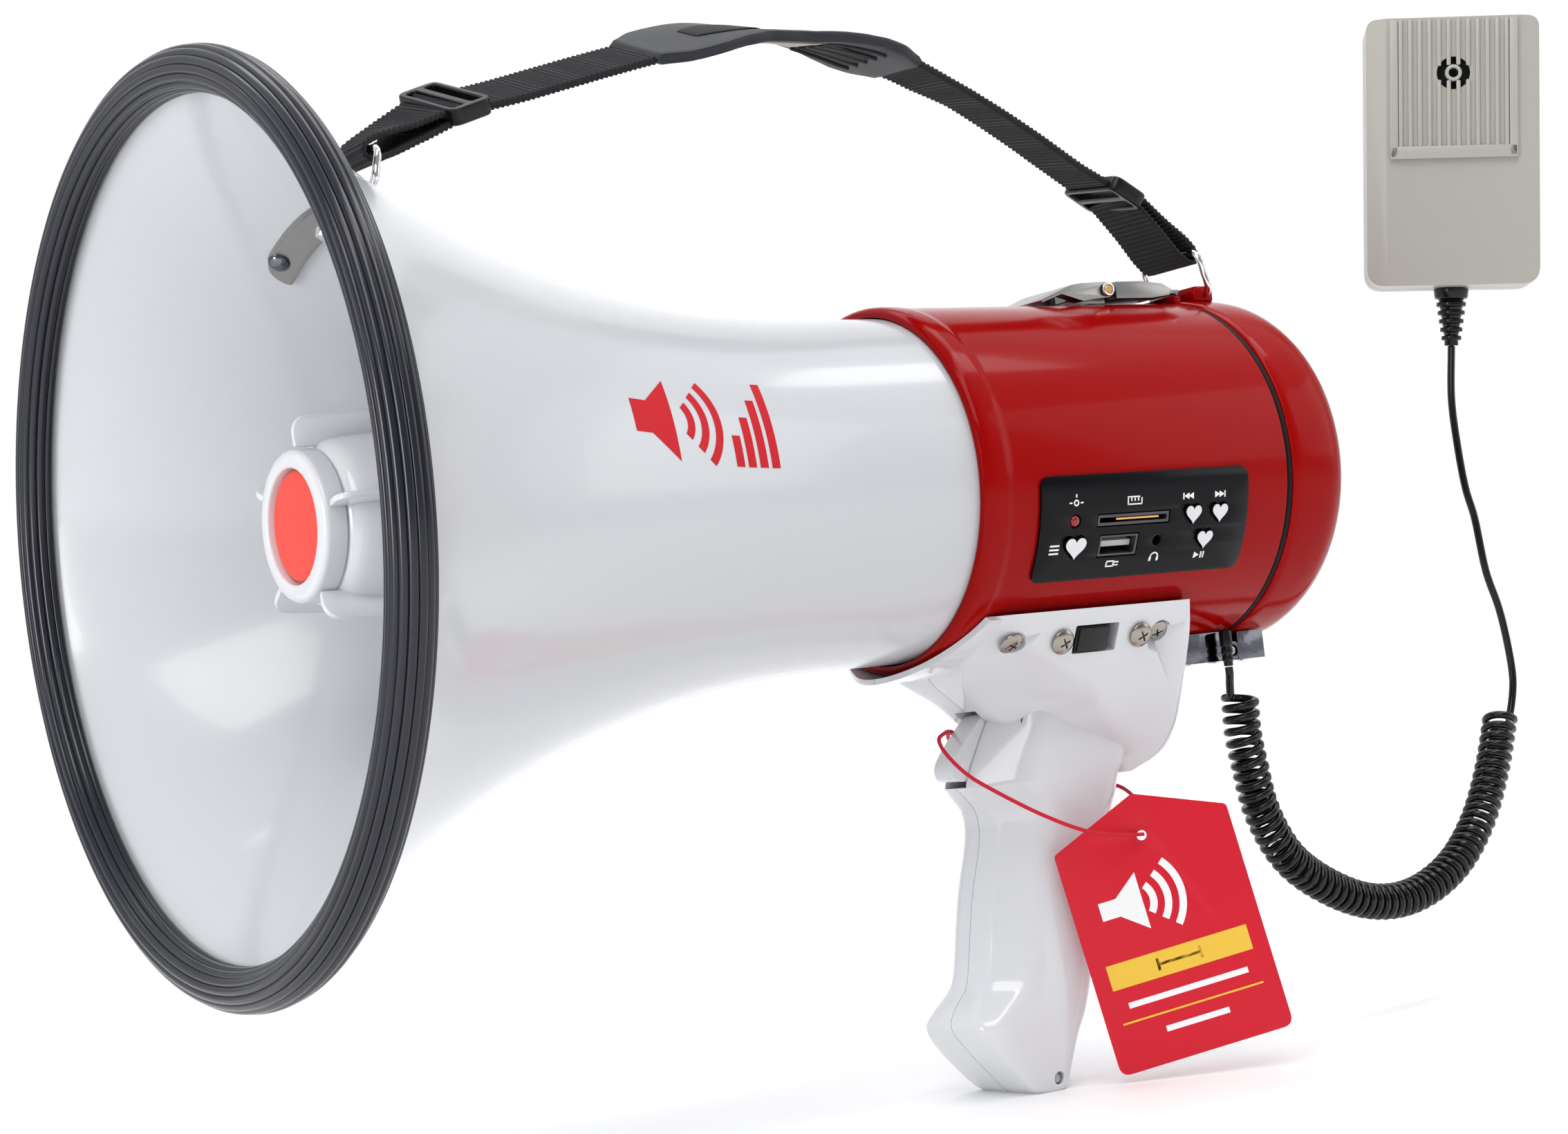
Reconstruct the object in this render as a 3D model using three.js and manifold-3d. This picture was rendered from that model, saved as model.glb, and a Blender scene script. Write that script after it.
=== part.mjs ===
// Handheld megaphone with a shoulder strap and a microphone on a curly cord.
// Millimetres. The bell faces -X, the battery cap is at +X, the control panel is on the -Y side, +Z is up.
// The design is drawn in the axis frame: x along the bell's axis from its mouth, y across,
// z up from the axis.
// The last lines move the origin to the middle of the flat base of the pistol grip.
import * as THREE from 'three';
import { mergeVertices } from 'three/addons/utils/BufferGeometryUtils.js';
import Module from 'manifold-3d';

const wasm = await Module();
wasm.setup();

// ---------------------------------------------------------------- driving dimensions
const GAP = 0.3;                   // clearance between touching pieces
const AXIS_HEIGHT = 168;           // bell axis above the base of the grip
const GRIP_BASE_X = 227;           // middle of the grip's flat base, from the mouth
const MOUTH_R = 109.2;             // middle of the bumper's round section
const BUMPER_SECTION_R = 5.8;
const NECK_R = 47.5;               // bell where it enters the body
const BELL_WALL = 2.6;
const BELL_END_X = 212;
const BODY_X = [197, 304];         // red body shell
const BODY_R = 50.3;
const BODY_INNER_R = 47.9;
const CAP_X = [306.3, 333];        // rear cap
const CAP_R = 50.8;
const PANEL_X = [215, 288.4];
const PANEL_ANGLES = [183.3, 216.5];
const PANEL_R = [49.6, 51.1];
const FACE_TILT = 26.03;           // slope of the handle's side faces, degrees from upright
const FACE_TOP = { y: 37.5, z: -38 };
const HINGE_PIN = { x: 305.2, z: -53.2, r: 1.3 };
const LATCH_PIN = { x: 279, z: 53.6, r: 1.2 };
const TRIGGER_PIN = { x: 230.5, z: -67, r: 1.3 };
const STRAP_WIDTH = 20;
const STRAP_THICK = 1.6;
const MIC_POSITION = [440.7, 3, 98];
const MIC_ANGLES = [2.9, 6.1, -42];        // degrees, about X, Y and Z in the order Z, X, Y
const TAG_ANGLES = [2.9, 6.1, -33.8];
const MIC_SIZE = { w: 54, h: 85, d: 27 };
const WIRE_R = 1.2;
const COIL_R = 5.6;

const rad = THREE.MathUtils.degToRad;
const V = (x, y, z) => new THREE.Vector3(x, y, z);

// ---------------------------------------------------------------- materials
const finish = (color, roughness, metalness = 0) =>
  new THREE.MeshStandardMaterial({ color, roughness, metalness });
const whitePlastic = finish(0xe9eaee, 0.25);
const redPlastic = finish(0xb00606, 0.25);
const brightRed = finish(0xf5554b, 0.4);
const blackPlastic = finish(0x17171a, 0.4);
const rubber = finish(0x2c2d33, 0.45);
const chrome = finish(0xc9c9cc, 0.12, 1);
const steel = finish(0x8f9095, 0.35, 1);
const brass = finish(0xc79a4a, 0.3, 1);
const webbing = finish(0x141416, 0.9);
const micGrey = finish(0xc6c5bf, 0.4);
const boardGreen = finish(0x1d5b3a, 0.5);
const cellBlue = finish(0x2a4a86, 0.4);
const tagRed = finish(0xd9293f, 0.5);

// ---------------------------------------------------------------- geometry helpers
// Leaves only merged positions, drops collapsed triangles and turns all faces outward.
function closed(geometry) {
  const g = geometry.clone();
  g.deleteAttribute('normal');
  g.deleteAttribute('uv');
  const merged = mergeVertices(g, 1e-4);
  const p = merged.getAttribute('position');
  const index = [];
  let volume = 0;
  const a = V(0, 0, 0);
  const b = V(0, 0, 0);
  const c = V(0, 0, 0);
  for (let i = 0; i < merged.index.count; i += 3) {
    const t = [0, 1, 2].map((k) => merged.index.getX(i + k));
    if (t[0] === t[1] || t[1] === t[2] || t[2] === t[0]) continue;
    index.push(...t);
    a.fromBufferAttribute(p, t[0]);
    b.fromBufferAttribute(p, t[1]);
    c.fromBufferAttribute(p, t[2]);
    volume += a.dot(b.cross(c));
  }
  if (volume < 0) {
    for (let i = 0; i < index.length; i += 3) {
      [index[i], index[i + 1]] = [index[i + 1], index[i]];
    }
  }
  merged.setIndex(index);
  return merged;
}

function solid(geometry) {
  const g = closed(geometry);
  return new wasm.Manifold(new wasm.Mesh({
    numProp: 3,
    vertProperties: Float32Array.from(g.getAttribute('position').array),
    triVerts: Uint32Array.from(g.index.array),
  }));
}

function toGeometry(manifold) {
  const m = manifold.getMesh();
  const g = new THREE.BufferGeometry();
  g.setAttribute('position', new THREE.BufferAttribute(Float32Array.from(m.vertProperties), 3));
  g.setIndex(Array.from(m.triVerts));
  return g;
}

const cut = (base, ...tools) => toGeometry(tools.reduce((s, t) => s.subtract(solid(t)), solid(base)));
const join = (base, ...more) => toGeometry(more.reduce((s, t) => s.add(solid(t)), solid(base)));
const common = (base, other) => toGeometry(solid(base).intersect(solid(other)));

// A closed [x, radius] profile, or one that starts and ends on the axis, turned about the X axis.
function turned(profile, segments) {
  const onAxis = profile[0][1] === 0;
  const loop = onAxis ? profile : [...profile, profile[0]];
  const points = loop.map(([x, r]) => new THREE.Vector2(r, x));
  return closed(new THREE.LatheGeometry(points, segments).rotateZ(-Math.PI / 2));
}

// An outline in the XZ plane, extruded from y0 to y1.
function plateY(points, y0, y1) {
  const shape = new THREE.Shape(points.map(([x, z]) => new THREE.Vector2(x, z)));
  const g = new THREE.ExtrudeGeometry(shape, { depth: y1 - y0, bevelEnabled: false });
  const basis = new THREE.Matrix4().makeBasis(V(1, 0, 0), V(0, 0, 1), V(0, -1, 0));
  return closed(g.applyMatrix4(basis).translate(0, y1, 0));
}

// A three.js shape in the XZ plane, extruded along +Y from y0.
function shapeY(shape, y0, y1, curveSegments = 5) {
  const g = new THREE.ExtrudeGeometry(shape, { depth: y1 - y0, bevelEnabled: false, curveSegments });
  const basis = new THREE.Matrix4().makeBasis(V(1, 0, 0), V(0, 0, 1), V(0, -1, 0));
  return closed(g.applyMatrix4(basis).translate(0, y1, 0));
}

// Part of a tube about the X axis, between two angles measured from +Y towards +Z.
function sector(r0, r1, a0, a1, x0, x1, segments = 12) {
  const shape = new THREE.Shape();
  shape.absarc(0, 0, r1, rad(a0), rad(a1), false);
  shape.absarc(0, 0, r0, rad(a1), rad(a0), true);
  const g = new THREE.ExtrudeGeometry(shape, { depth: x1 - x0, bevelEnabled: false,
    curveSegments: segments });
  const basis = new THREE.Matrix4().makeBasis(V(0, 1, 0), V(0, 0, 1), V(1, 0, 0));
  return closed(g.applyMatrix4(basis).translate(x0, 0, 0));
}

const block = (x0, x1, y0, y1, z0, z1) =>
  new THREE.BoxGeometry(x1 - x0, y1 - y0, z1 - z0).translate((x0 + x1) / 2, (y0 + y1) / 2, (z0 + z1) / 2);

// A cylinder from point a to point b.
function rod(a, b, r, segments = 16, rEnd = r) {
  const from = V(...a);
  const axis = V(...b).sub(from);
  const g = new THREE.CylinderGeometry(rEnd, r, axis.length(), segments).translate(0, axis.length() / 2, 0);
  const turn = new THREE.Quaternion().setFromUnitVectors(V(0, 1, 0), axis.normalize());
  return closed(g.applyQuaternion(turn).translate(...from.toArray()));
}

// Rings of equal point count, skinned into one closed solid with flat ends.
function loft(rings) {
  const n = rings[0].length;
  const position = [];
  const index = [];
  rings.forEach((ring) => ring.forEach((p) => position.push(p.x, p.y, p.z)));
  for (let i = 0; i + 1 < rings.length; i += 1) {
    for (let k = 0; k < n; k += 1) {
      const a = i * n + k;
      const b = i * n + (k + 1) % n;
      index.push(a, b, b + n, a, b + n, a + n);
    }
  }
  for (let k = 1; k + 1 < n; k += 1) {
    const last = (rings.length - 1) * n;
    index.push(0, k + 1, k, last, last + k, last + k + 1);
  }
  const g = new THREE.BufferGeometry();
  g.setAttribute('position', new THREE.Float32BufferAttribute(position, 3));
  g.setIndex(index);
  return closed(g);
}

// A round wire along a smooth curve through the points.
function wire(points, radius, steps, sides = 8, tension = 0.5) {
  const curve = new THREE.CatmullRomCurve3(points.map((p) => V(...p)), false, 'centripetal', tension);
  const frames = curve.computeFrenetFrames(steps, false);
  const rings = [];
  for (let i = 0; i <= steps; i += 1) {
    const c = curve.getPointAt(i / steps);
    rings.push(Array.from({ length: sides }, (_, k) => {
      const t = (2 * Math.PI * k) / sides;
      return c.clone().addScaledVector(frames.normals[i], radius * Math.cos(t))
        .addScaledVector(frames.binormals[i], radius * Math.sin(t));
    }));
  }
  return loft(rings);
}

// A flat band: each station is [x, y, z, twist], the twist in degrees about the band's own run.
function band(stations, width, thickness, steps, y = 0) {
  const curve = new THREE.CatmullRomCurve3(stations.map((s) => V(s[0],
    s[1] + y, s[2])), false, 'centripetal');
  const rings = [];
  for (let i = 0; i <= steps; i += 1) {
    const t = i / steps;
    const c = curve.getPoint(t);
    const along = curve.getTangent(t);
    const k = Math.min(Math.floor(t * (stations.length - 1)), stations.length - 2);
    const f = t * (stations.length - 1) - k;
    const twist = rad((stations[k][3] || 0) * (1 - f) + (stations[k + 1][3] || 0) * f);
    const across = V(0, 1, 0).addScaledVector(along, -along.y).normalize().applyAxisAngle(along, twist);
    const up = along.clone().cross(across);
    rings.push([[-1, -1], [1, -1], [1, 1], [-1, 1]].map(([u, v]) => c.clone()
      .addScaledVector(across, (u * width) / 2).addScaledVector(up, (v * thickness) / 2)));
  }
  return loft(rings);
}

// ---------------------------------------------------------------- scene graph
const megaphone = new THREE.Group();
const axisFrame = new THREE.Group();
axisFrame.position.set(-GRIP_BASE_X, 0, AXIS_HEIGHT);
megaphone.add(axisFrame);

function add(name, geometry, material, parent = axisFrame) {
  const mesh = new THREE.Mesh(closed(geometry), material);
  mesh.name = name;
  parent.add(mesh);
  return mesh;
}

// ---------------------------------------------------------------- bell and bumper
// Outer radius of the bell: a power curve down to the neck, with a short extra flare at the lip.
const bellRadius = (x) =>
  NECK_R + (x < 175 ? 60.4 * (1 - x / 175) ** 2.12 : 0) + 3.5 * Math.exp(-x / 12);

function bellOffset(x, depth) {
  const slope = (bellRadius(x + 0.01) - bellRadius(x - 0.01)) / 0.02;
  const len = Math.hypot(1, slope);
  return [x + (depth * slope) / len, bellRadius(x) - depth / len];
}

function bell() {
  const xs = [1.1, 8, 18, 30, 44, 60, 78, 98, 120, 145, 175, BELL_END_X];
  const outer = xs.map((x) => bellOffset(x, 0));
  const inner = xs.filter((x) => x !== 8 && x !== 98).map((x) => bellOffset(x, BELL_WALL)).reverse();
  return turned([...outer, ...inner], 48);
}

function bumper() {
  const halfSlot = BELL_WALL / 2 + GAP + 0.5;
  const wallAngle = -45;
  const open = THREE.MathUtils.radToDeg(Math.asin(halfSlot / BUMPER_SECTION_R));
  const profile = [];
  const steps = 10;
  for (let i = 0; i <= steps; i += 1) {
    const a = rad(wallAngle + open + ((360 - 2 * open) * i) / steps);
    profile.push([BUMPER_SECTION_R * Math.cos(a), MOUTH_R + BUMPER_SECTION_R * Math.sin(a)]);
  }
  const depth = 0.8;
  const s = Math.SQRT1_2;
  profile.push([s * (-depth - halfSlot), MOUTH_R + s * (depth - halfSlot)]);
  profile.push([s * (-depth + halfSlot), MOUTH_R + s * (depth + halfSlot)]);
  return turned(profile, 48);
}

// The bracket's middle on the top of the bell, with the bell's own slope.
const BRACKET_X = 47;
const bracketSlope = (bellRadius(BRACKET_X + 0.01) - bellRadius(BRACKET_X - 0.01)) / 0.02;
const bracketNormal = V(-bracketSlope, 0, 1).normalize();
const bracketAt = (out, y = 0) =>
  V(BRACKET_X, y, Math.sqrt(bellRadius(BRACKET_X) ** 2 - y * y)).addScaledVector(bracketNormal, out);

const RIVET_Y = [-10, 10];
const rivetHole = (y) => rod(bracketAt(-8, y).toArray(), bracketAt(5, y).toArray(), 1.9, 12);

// A plate that follows the bell's wall between two depths, with the outline of a rounded bar.
function bellPlate(depth0, depth1, halfLength, halfWidth) {
  const xs = [BRACKET_X - 9, BRACKET_X - 3, BRACKET_X + 3, BRACKET_X + 9];
  const shell = turned([...xs.map((x) => bellOffset(x, depth0)),
    ...xs.map((x) => bellOffset(x, depth1)).reverse()], 96);
  const outline = new THREE.Shape();
  outline.absarc(0, halfLength - halfWidth, halfWidth, 0, Math.PI, false);
  outline.absarc(0, halfWidth - halfLength, halfWidth, Math.PI, 2 * Math.PI, false);
  const prism = new THREE.ExtrudeGeometry(outline, { depth: 24, bevelEnabled: false, curveSegments: 6 });
  const along = V(1, 0, bracketSlope).normalize();
  const turn = new THREE.Matrix4().makeBasis(along, V(0, 1, 0), bracketNormal);
  prism.applyMatrix4(turn).translate(...bracketAt(-12).toArray());
  return common(shell, prism);
}

add('horn_bell', cut(bell(), ...RIVET_Y.map(rivetHole)), whitePlastic);
add('bumper_ring', bumper(), rubber);

const barrelCentre = bracketAt(3.7);
const outerPlate = join(
  cut(bellPlate(-0.35, -1.6, 15, 6), ...RIVET_Y.map(rivetHole)),
  rod([barrelCentre.x, -6, barrelCentre.z], [barrelCentre.x, 6, barrelCentre.z], 2.6, 14),
);
add('strap_bracket_outer', cut(outerPlate,
  rod([barrelCentre.x, -9, barrelCentre.z], [barrelCentre.x, 9, barrelCentre.z], 1.5, 14)), chrome);
// The two rivets are part of the inner plate and head over outside the outer one.
const rivets = RIVET_Y.flatMap((y) => {
  const at = (out) => bracketAt(out, y).toArray();
  return [rod(at(-5.6), at(2.2), 1.5, 10), rod(at(1.9), at(2.35), 2.9, 12, 2.5),
    rod(at(-4.0), at(-6.1), 2.9, 12, 2.2)];
});
add('strap_bracket_inner', join(bellPlate(BELL_WALL + 0.35, BELL_WALL + 1.6, 16, 6), ...rivets), chrome);

// ---------------------------------------------------------------- reflector in the mouth
function reflectorCup() {
  const body = turned([[29, 0], [29, 17.8], [31.5, 20.3], [36, 21.6], [50, 22.6], [70, 25], [98, 30],
    [98, 28.2], [70, 23.2], [50, 20.8], [38, 19.8], [33, 17.5], [31, 13.5], [31, 0]], 32);
  const fin = [[24.8, 19.5], [24.2, 24], [26, 26.4], [30, 27.2], [60, 29], [96, 33], [97.5, 29.2],
    [60, 22.9],
    [36, 20.8], [31.8, 19.5]];
  const fins = [];
  for (let i = 0; i < 5; i += 1) {
    fins.push(plateY(fin, -0.8, 0.8).rotateX(rad(26 - 90 + 72 * i)));
  }
  const collar = turned([[26.6, 0], [26.6, 14.2], [23.2, 14.2], [23.2, 17.4], [24.2, 18.7],
    [29.4, 18.9], [29.4, 0]], 32);
  return join(body, collar, ...fins);
}
add('reflector_cup', reflectorCup(), whitePlastic);
add('reflector_disc', turned([[24.3, 0], [24.5, 12.4], [25.1, 13.7], [26.3, 13.7], [26.3, 0]],
  32), brightRed);
add('throat_tube', turned([[40, 12.5], [120, 10.2], [205, 9.5], [209, 12], [212.5, 20], [212.5, 46.8],
  [214.6, 46.8], [214.6, 7.9], [205, 7.9], [120, 8.6], [40, 10.9]], 28), whitePlastic);

// ---------------------------------------------------------------- compression driver
add('driver_magnet_housing', turned([[223, 0], [223, 20], [215, 20], [215, 44], [219, 44], [219, 33.6],
  [247, 33.6], [247, 0]], 28), steel);
add('driver_diaphragm', turned([[216.2, 0], [217.4, 8], [219.6, 15], [220, 19.4], [221.2, 19.4], [220.8, 15],
  [218.6, 8], [217.4, 0]], 24), blackPlastic);

// ---------------------------------------------------------------- body shell and gasket
const panelMiddle = (PANEL_ANGLES[0] + PANEL_ANGLES[1]) / 2;
const bodyProfile = [[BODY_X[0], BODY_INNER_R], [BODY_X[0], 48.9], [198.2, 50.1], [200.5, 50.7], [204, 50.7],
  [206, BODY_R], [BODY_X[1], BODY_R], [BODY_X[1], BODY_INNER_R]];
add('body_shell', cut(turned(bodyProfile, 56),
  sector(40, 60, 187, 213, 221, 282, 6),
  sector(49.2, 60, PANEL_ANGLES[0] - 0.6, PANEL_ANGLES[1] + 0.6, PANEL_X[0] - 0.5, PANEL_X[1] + 0.5, 10)),
redPlastic);
add('gasket_ring', turned([[304.4, 48.2], [304.4, 49.9], [305.9, 49.9], [305.9, 48.2]], 48), rubber);

// ---------------------------------------------------------------- control panel
// Pieces on the panel are drawn at a place on the X axis and an angle, with r measured outward.
const radial = (angle) => V(0, Math.cos(rad(angle)), Math.sin(rad(angle)));
const panelPoint = (x, angle, r) => radial(angle).multiplyScalar(r).setX(x).toArray();

// Turns a shape drawn with x along X and y up the panel into a prism from radius r0 to r1.
function panelPrism(shape, x, angle, r0, r1, curveSegments = 4) {
  const g = new THREE.ExtrudeGeometry(shape, { depth: r1 - r0, bevelEnabled: false, curveSegments });
  const out = radial(angle);
  const up = V(0, Math.sin(rad(angle)), -Math.cos(rad(angle)));
  const basis = new THREE.Matrix4().makeBasis(V(1, 0, 0), up, out);
  return closed(g.applyMatrix4(basis).translate(...panelPoint(x, angle, r0)));
}

function heart(w, h) {
  const s = new THREE.Shape();
  s.moveTo(0, -h / 2);
  s.bezierCurveTo(-w * 0.3, -h * 0.2, -w / 2, 0, -w / 2, h * 0.2);
  s.bezierCurveTo(-w / 2, h * 0.56, -w * 0.12, h * 0.6, 0, h * 0.3);
  s.bezierCurveTo(w * 0.12, h * 0.6, w / 2, h * 0.56, w / 2, h * 0.2);
  s.bezierCurveTo(w / 2, 0, w * 0.3, -h * 0.2, 0, -h / 2);
  return s;
}

function rectangle(w, h) {
  return new THREE.Shape([[-w, -h], [w, -h], [w, h], [-w, h]].map(([x, y]) => new THREE.Vector2(x / 2,
    y / 2)));
}

function disc(r) {
  const s = new THREE.Shape();
  s.absarc(0, 0, r, 0, 2 * Math.PI, false);
  return s;
}

const BUTTONS = [
  { name: 'mode_button', x: 227.2, angle: 205.5, w: 7.0, h: 6.2 },
  { name: 'previous_button', x: 267.8, angle: 197.4, w: 5.5, h: 5.2 },
  { name: 'next_button', x: 277.4, angle: 197.4, w: 5.5, h: 5.2 },
  { name: 'play_button', x: 273, angle: 205.5, w: 5.5, h: 5.2 },
];
const LED = { x: 226.8, angle: 197.2, r: 1.6 };
const CARD = { x: 247.2, angle: 197.5, w: 25, h: 3 };
const USB = { x: 242.8, angle: 205.6, w: 13.2, h: 5.9 };
const AUX = { x: 256.5, angle: 205, r: 1.9 };

const panelCuts = [
  ...BUTTONS.map((b) => panelPrism(heart(b.w + 0.9, b.h + 0.9), b.x, b.angle, 46, 56)),
  panelPrism(disc(LED.r + GAP), LED.x, LED.angle, 46, 56),
  panelPrism(rectangle(CARD.w + 0.7, CARD.h + 0.7), CARD.x, CARD.angle, 46, 56),
  panelPrism(rectangle(USB.w + 0.7, USB.h + 0.7), USB.x, USB.angle, 46, 56),
  panelPrism(disc(AUX.r), AUX.x, AUX.angle, 46, 56),
];
add('control_panel', cut(sector(PANEL_R[0], PANEL_R[1], PANEL_ANGLES[0], PANEL_ANGLES[1], PANEL_X[0],
  PANEL_X[1], 12), ...panelCuts), blackPlastic);
BUTTONS.forEach((b) => add(b.name, panelPrism(heart(b.w, b.h), b.x, b.angle, 48, 52.3), chrome));
add('led_lens', rod(panelPoint(LED.x, LED.angle, 46.5), panelPoint(LED.x, LED.angle, 51.6), LED.r, 12),
  brightRed);
add('card_socket', cut(panelPrism(rectangle(CARD.w, CARD.h), CARD.x, CARD.angle, 38, 51),
  panelPrism(rectangle(CARD.w - 1.4, 1.4), CARD.x, CARD.angle, 40, 53)), steel);
add('usb_socket', join(cut(panelPrism(rectangle(USB.w, USB.h), USB.x, USB.angle, 37.5, 51),
  panelPrism(rectangle(USB.w - 1.2, USB.h - 1.2), USB.x, USB.angle, 39, 53)),
panelPrism(rectangle(11, 1.5), USB.x, USB.angle, 38.4, 49)), steel);
const auxJack = cut(rod(panelPoint(AUX.x, AUX.angle, 35.5), panelPoint(AUX.x, AUX.angle, 49.2), 3, 14),
  rod(panelPoint(AUX.x, AUX.angle, 39), panelPoint(AUX.x, AUX.angle, 51), 1.75, 14));
add('circuit_board', join(panelPrism(rectangle(62, 26), 251.5, panelMiddle, 34.6, 36.2), auxJack),
  boardGreen);

// ---------------------------------------------------------------- batteries
// One rechargeable pack: six round cells on an end plate, with the place beside the board left free.
const CELL_RING_R = 28;
const endPlate = cut(turned([[249, 0], [249, 42], [252.4, 42], [252.4, 0]], 28),
  panelPrism(rectangle(20, 40), 250, panelMiddle, 33.6, 60));
const oneCell = turned([[252, 0], [252, 12.7], [300, 12.7], [300, 3], [301.5, 3], [301.5, 0]], 12);
const cells = [oneCell];
for (let i = 1; i <= 5; i += 1) {
  const a = rad(panelMiddle + 60 * i);
  cells.push(oneCell.clone().translate(0, CELL_RING_R * Math.cos(a), CELL_RING_R * Math.sin(a)));
}
add('battery_pack', join(endPlate, ...cells), cellBlue);

// ---------------------------------------------------------------- rear cap with its hinge
const BAIL_SEAT = { x: 317, z: 52.3 };
const capShell = turned([[CAP_X[1], 0], [CAP_X[1] - 0.3, 30], [331.6, 41], [328.8, 46.6], [323.5, 50],
  [318, CAP_R], [308, CAP_R], [CAP_X[0], 50.4], [CAP_X[0], 47.2], [303.8, 47.2], [303.8, 45.2], [320, 45.2],
  [326.5, 41.5], [329.6, 30], [330, 0]], 48);
add('rear_cap', cut(join(capShell,
  block(313.4, 320.6, -10, 10, 46, 54.6),
  block(306.6, 309.4, -8, 8, 47.5, 52)),
rod([BAIL_SEAT.x, -14, BAIL_SEAT.z], [BAIL_SEAT.x, 14, BAIL_SEAT.z], 1.5, 14)), redPlastic);

const HINGE_HALF = 18;
const hingeCore = sector(40, BODY_R + 0.5, 200, 340, 270, 330, 24);
const hingeEye = (y0, y1, r) => rod([HINGE_PIN.x, y0, HINGE_PIN.z], [HINGE_PIN.x, y1, HINGE_PIN.z], r, 16);
const capEyes = [[-HINGE_HALF, -5.5], [5.5, HINGE_HALF]];
const leafBody = cut(block(283, 303.4, -HINGE_HALF, HINGE_HALF, -56, -44), hingeCore,
  ...capEyes.map(([a, b]) => hingeEye(a - 1, b + 1, 3.1)));
const GLAND = { x: 300, y: -20.9, top: -47.3, z: -57.6, r: 2.4 };
add('hinge_leaf_body', cut(join(leafBody, hingeEye(-5, 5, 2.6)), hingeEye(-30, 30, 1.65)), chrome);
const leafCap = cut(block(307, 317, -HINGE_HALF, HINGE_HALF, -56, -44),
  sector(40, CAP_R + 0.4, 200, 340, 270, 330, 24), hingeEye(-6, 6, 3.1));
add('hinge_leaf_cap', cut(join(leafCap, hingeEye(-HINGE_HALF, -5.5, 2.6), hingeEye(5.5, HINGE_HALF, 2.6)),
  hingeEye(-30, 30, 1.65)), chrome);
add('hinge_pin', hingeEye(-17.6, 17.6, HINGE_PIN.r), steel);
add('cord_gland', rod([GLAND.x, GLAND.y, GLAND.top], [GLAND.x, GLAND.y, GLAND.z], GLAND.r, 12, 1.8), rubber);

// ---------------------------------------------------------------- top latch
const latchEye = (y0, y1, r) => rod([LATCH_PIN.x, y0, LATCH_PIN.z], [LATCH_PIN.x, y1, LATCH_PIN.z], r, 14);
const LATCH_HALF = 11;
const bodyClear = sector(30, BODY_R + 0.5, 40, 140, 240, 320, 24);
const lugs = [[-6.6, -4.2], [4.2, 6.6]];
const baseBridge = sector(BODY_R + 0.4, BODY_R + 1.3, 82.6, 97.4, 270, 274.6, 6);
add('latch_base', cut(join(baseBridge,
  ...lugs.map(([a, b]) => block(272, 281.4, a, b, 50, 54.4)),
  ...lugs.map(([a, b]) => latchEye(a, b, 2.3))), bodyClear, latchEye(-9, 9, 1.55)), steel);
const leverPlate = plateY([[254.8, 50.2], [266, 53.8], [270.4, 54.6], [270.4, 55.7], [266, 55.1],
  [254.4, 50.8]],
  -LATCH_HALF, LATCH_HALF);
const leverEar = (y0, y1) => join(plateY([[266, 54.9], [262, 52.6], [270, 50.4], [273.5, 50.9], [279, 51.4],
  [279, 55.9], [270, 55.6]], y0, y1), latchEye(y0, y1, 2.3));
add('latch_lever', cut(join(leverPlate, leverEar(-LATCH_HALF, -7), leverEar(7, LATCH_HALF)), bodyClear,
  latchEye(-20, 20, 1.55)), chrome);
const hookPlate = plateY([[282.4, 51], [282.4, 55.9], [292, 56], [300, 55.2], [303.4, 53.6], [302.6, 51.8],
  [296, 51]], -LATCH_HALF, LATCH_HALF);
const hookTongue = join(plateY([[279, 51.4], [279, 55.9], [283, 55.9], [283, 51.4]], -3.8, 3.8),
  latchEye(-3.8, 3.8, 2.3));
const hookLip = plateY([[300, 53], [309.4, 53], [309.4, 52.5], [310.6, 52.5], [310.6, 54.2],
  [300, 54.2]], -6, 6);
add('latch_hook', cut(join(hookPlate, hookTongue, hookLip), bodyClear, latchEye(-20, 20, 1.55)), chrome);
add('latch_pin', join(latchEye(-11.4, 11.4, LATCH_PIN.r), latchEye(-12.2, -11.3, 2.0),
  latchEye(11.3, 12.2, 2.0)), brass);

// ---------------------------------------------------------------- strap bails
// A wire bail: feet turned inward into the seat, uprights, and a bar across the top.
function bail(seat, top, halfWidth) {
  const lean = (k) => [seat[0] + (top[0] - seat[0]) * k, seat[1] + (top[1] - seat[1]) * k];
  const [x0, z0] = lean(0);
  const [xm, zm] = lean(0.5);
  const [x1, z1] = lean(1);
  const side = (s) => [[x0, s * (halfWidth - 6), z0], [x0, s * (halfWidth - 1.6), z0],
    [x0 + (xm - x0) * 0.3, s * halfWidth, z0 + (zm - z0) * 0.3], [xm, s * halfWidth, zm],
    [x1 - (x1 - xm) * 0.35, s * halfWidth, z1 - (z1 - zm) * 0.35], [x1, s * (halfWidth - 1.6), z1]];
  return wire([...side(-1), [x1, 0, z1], ...side(1).reverse()], 1.05, 44);
}
const FRONT_BAIL_TOP = [50.6, 91.2];
const REAR_BAIL_TOP = [313.6, 64];
const BAIL_HALF = 12.4;
add('strap_bail_front', bail([barrelCentre.x, barrelCentre.z], FRONT_BAIL_TOP, BAIL_HALF), chrome);
add('strap_bail_rear', bail([BAIL_SEAT.x, BAIL_SEAT.z], REAR_BAIL_TOP, BAIL_HALF), chrome);

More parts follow.
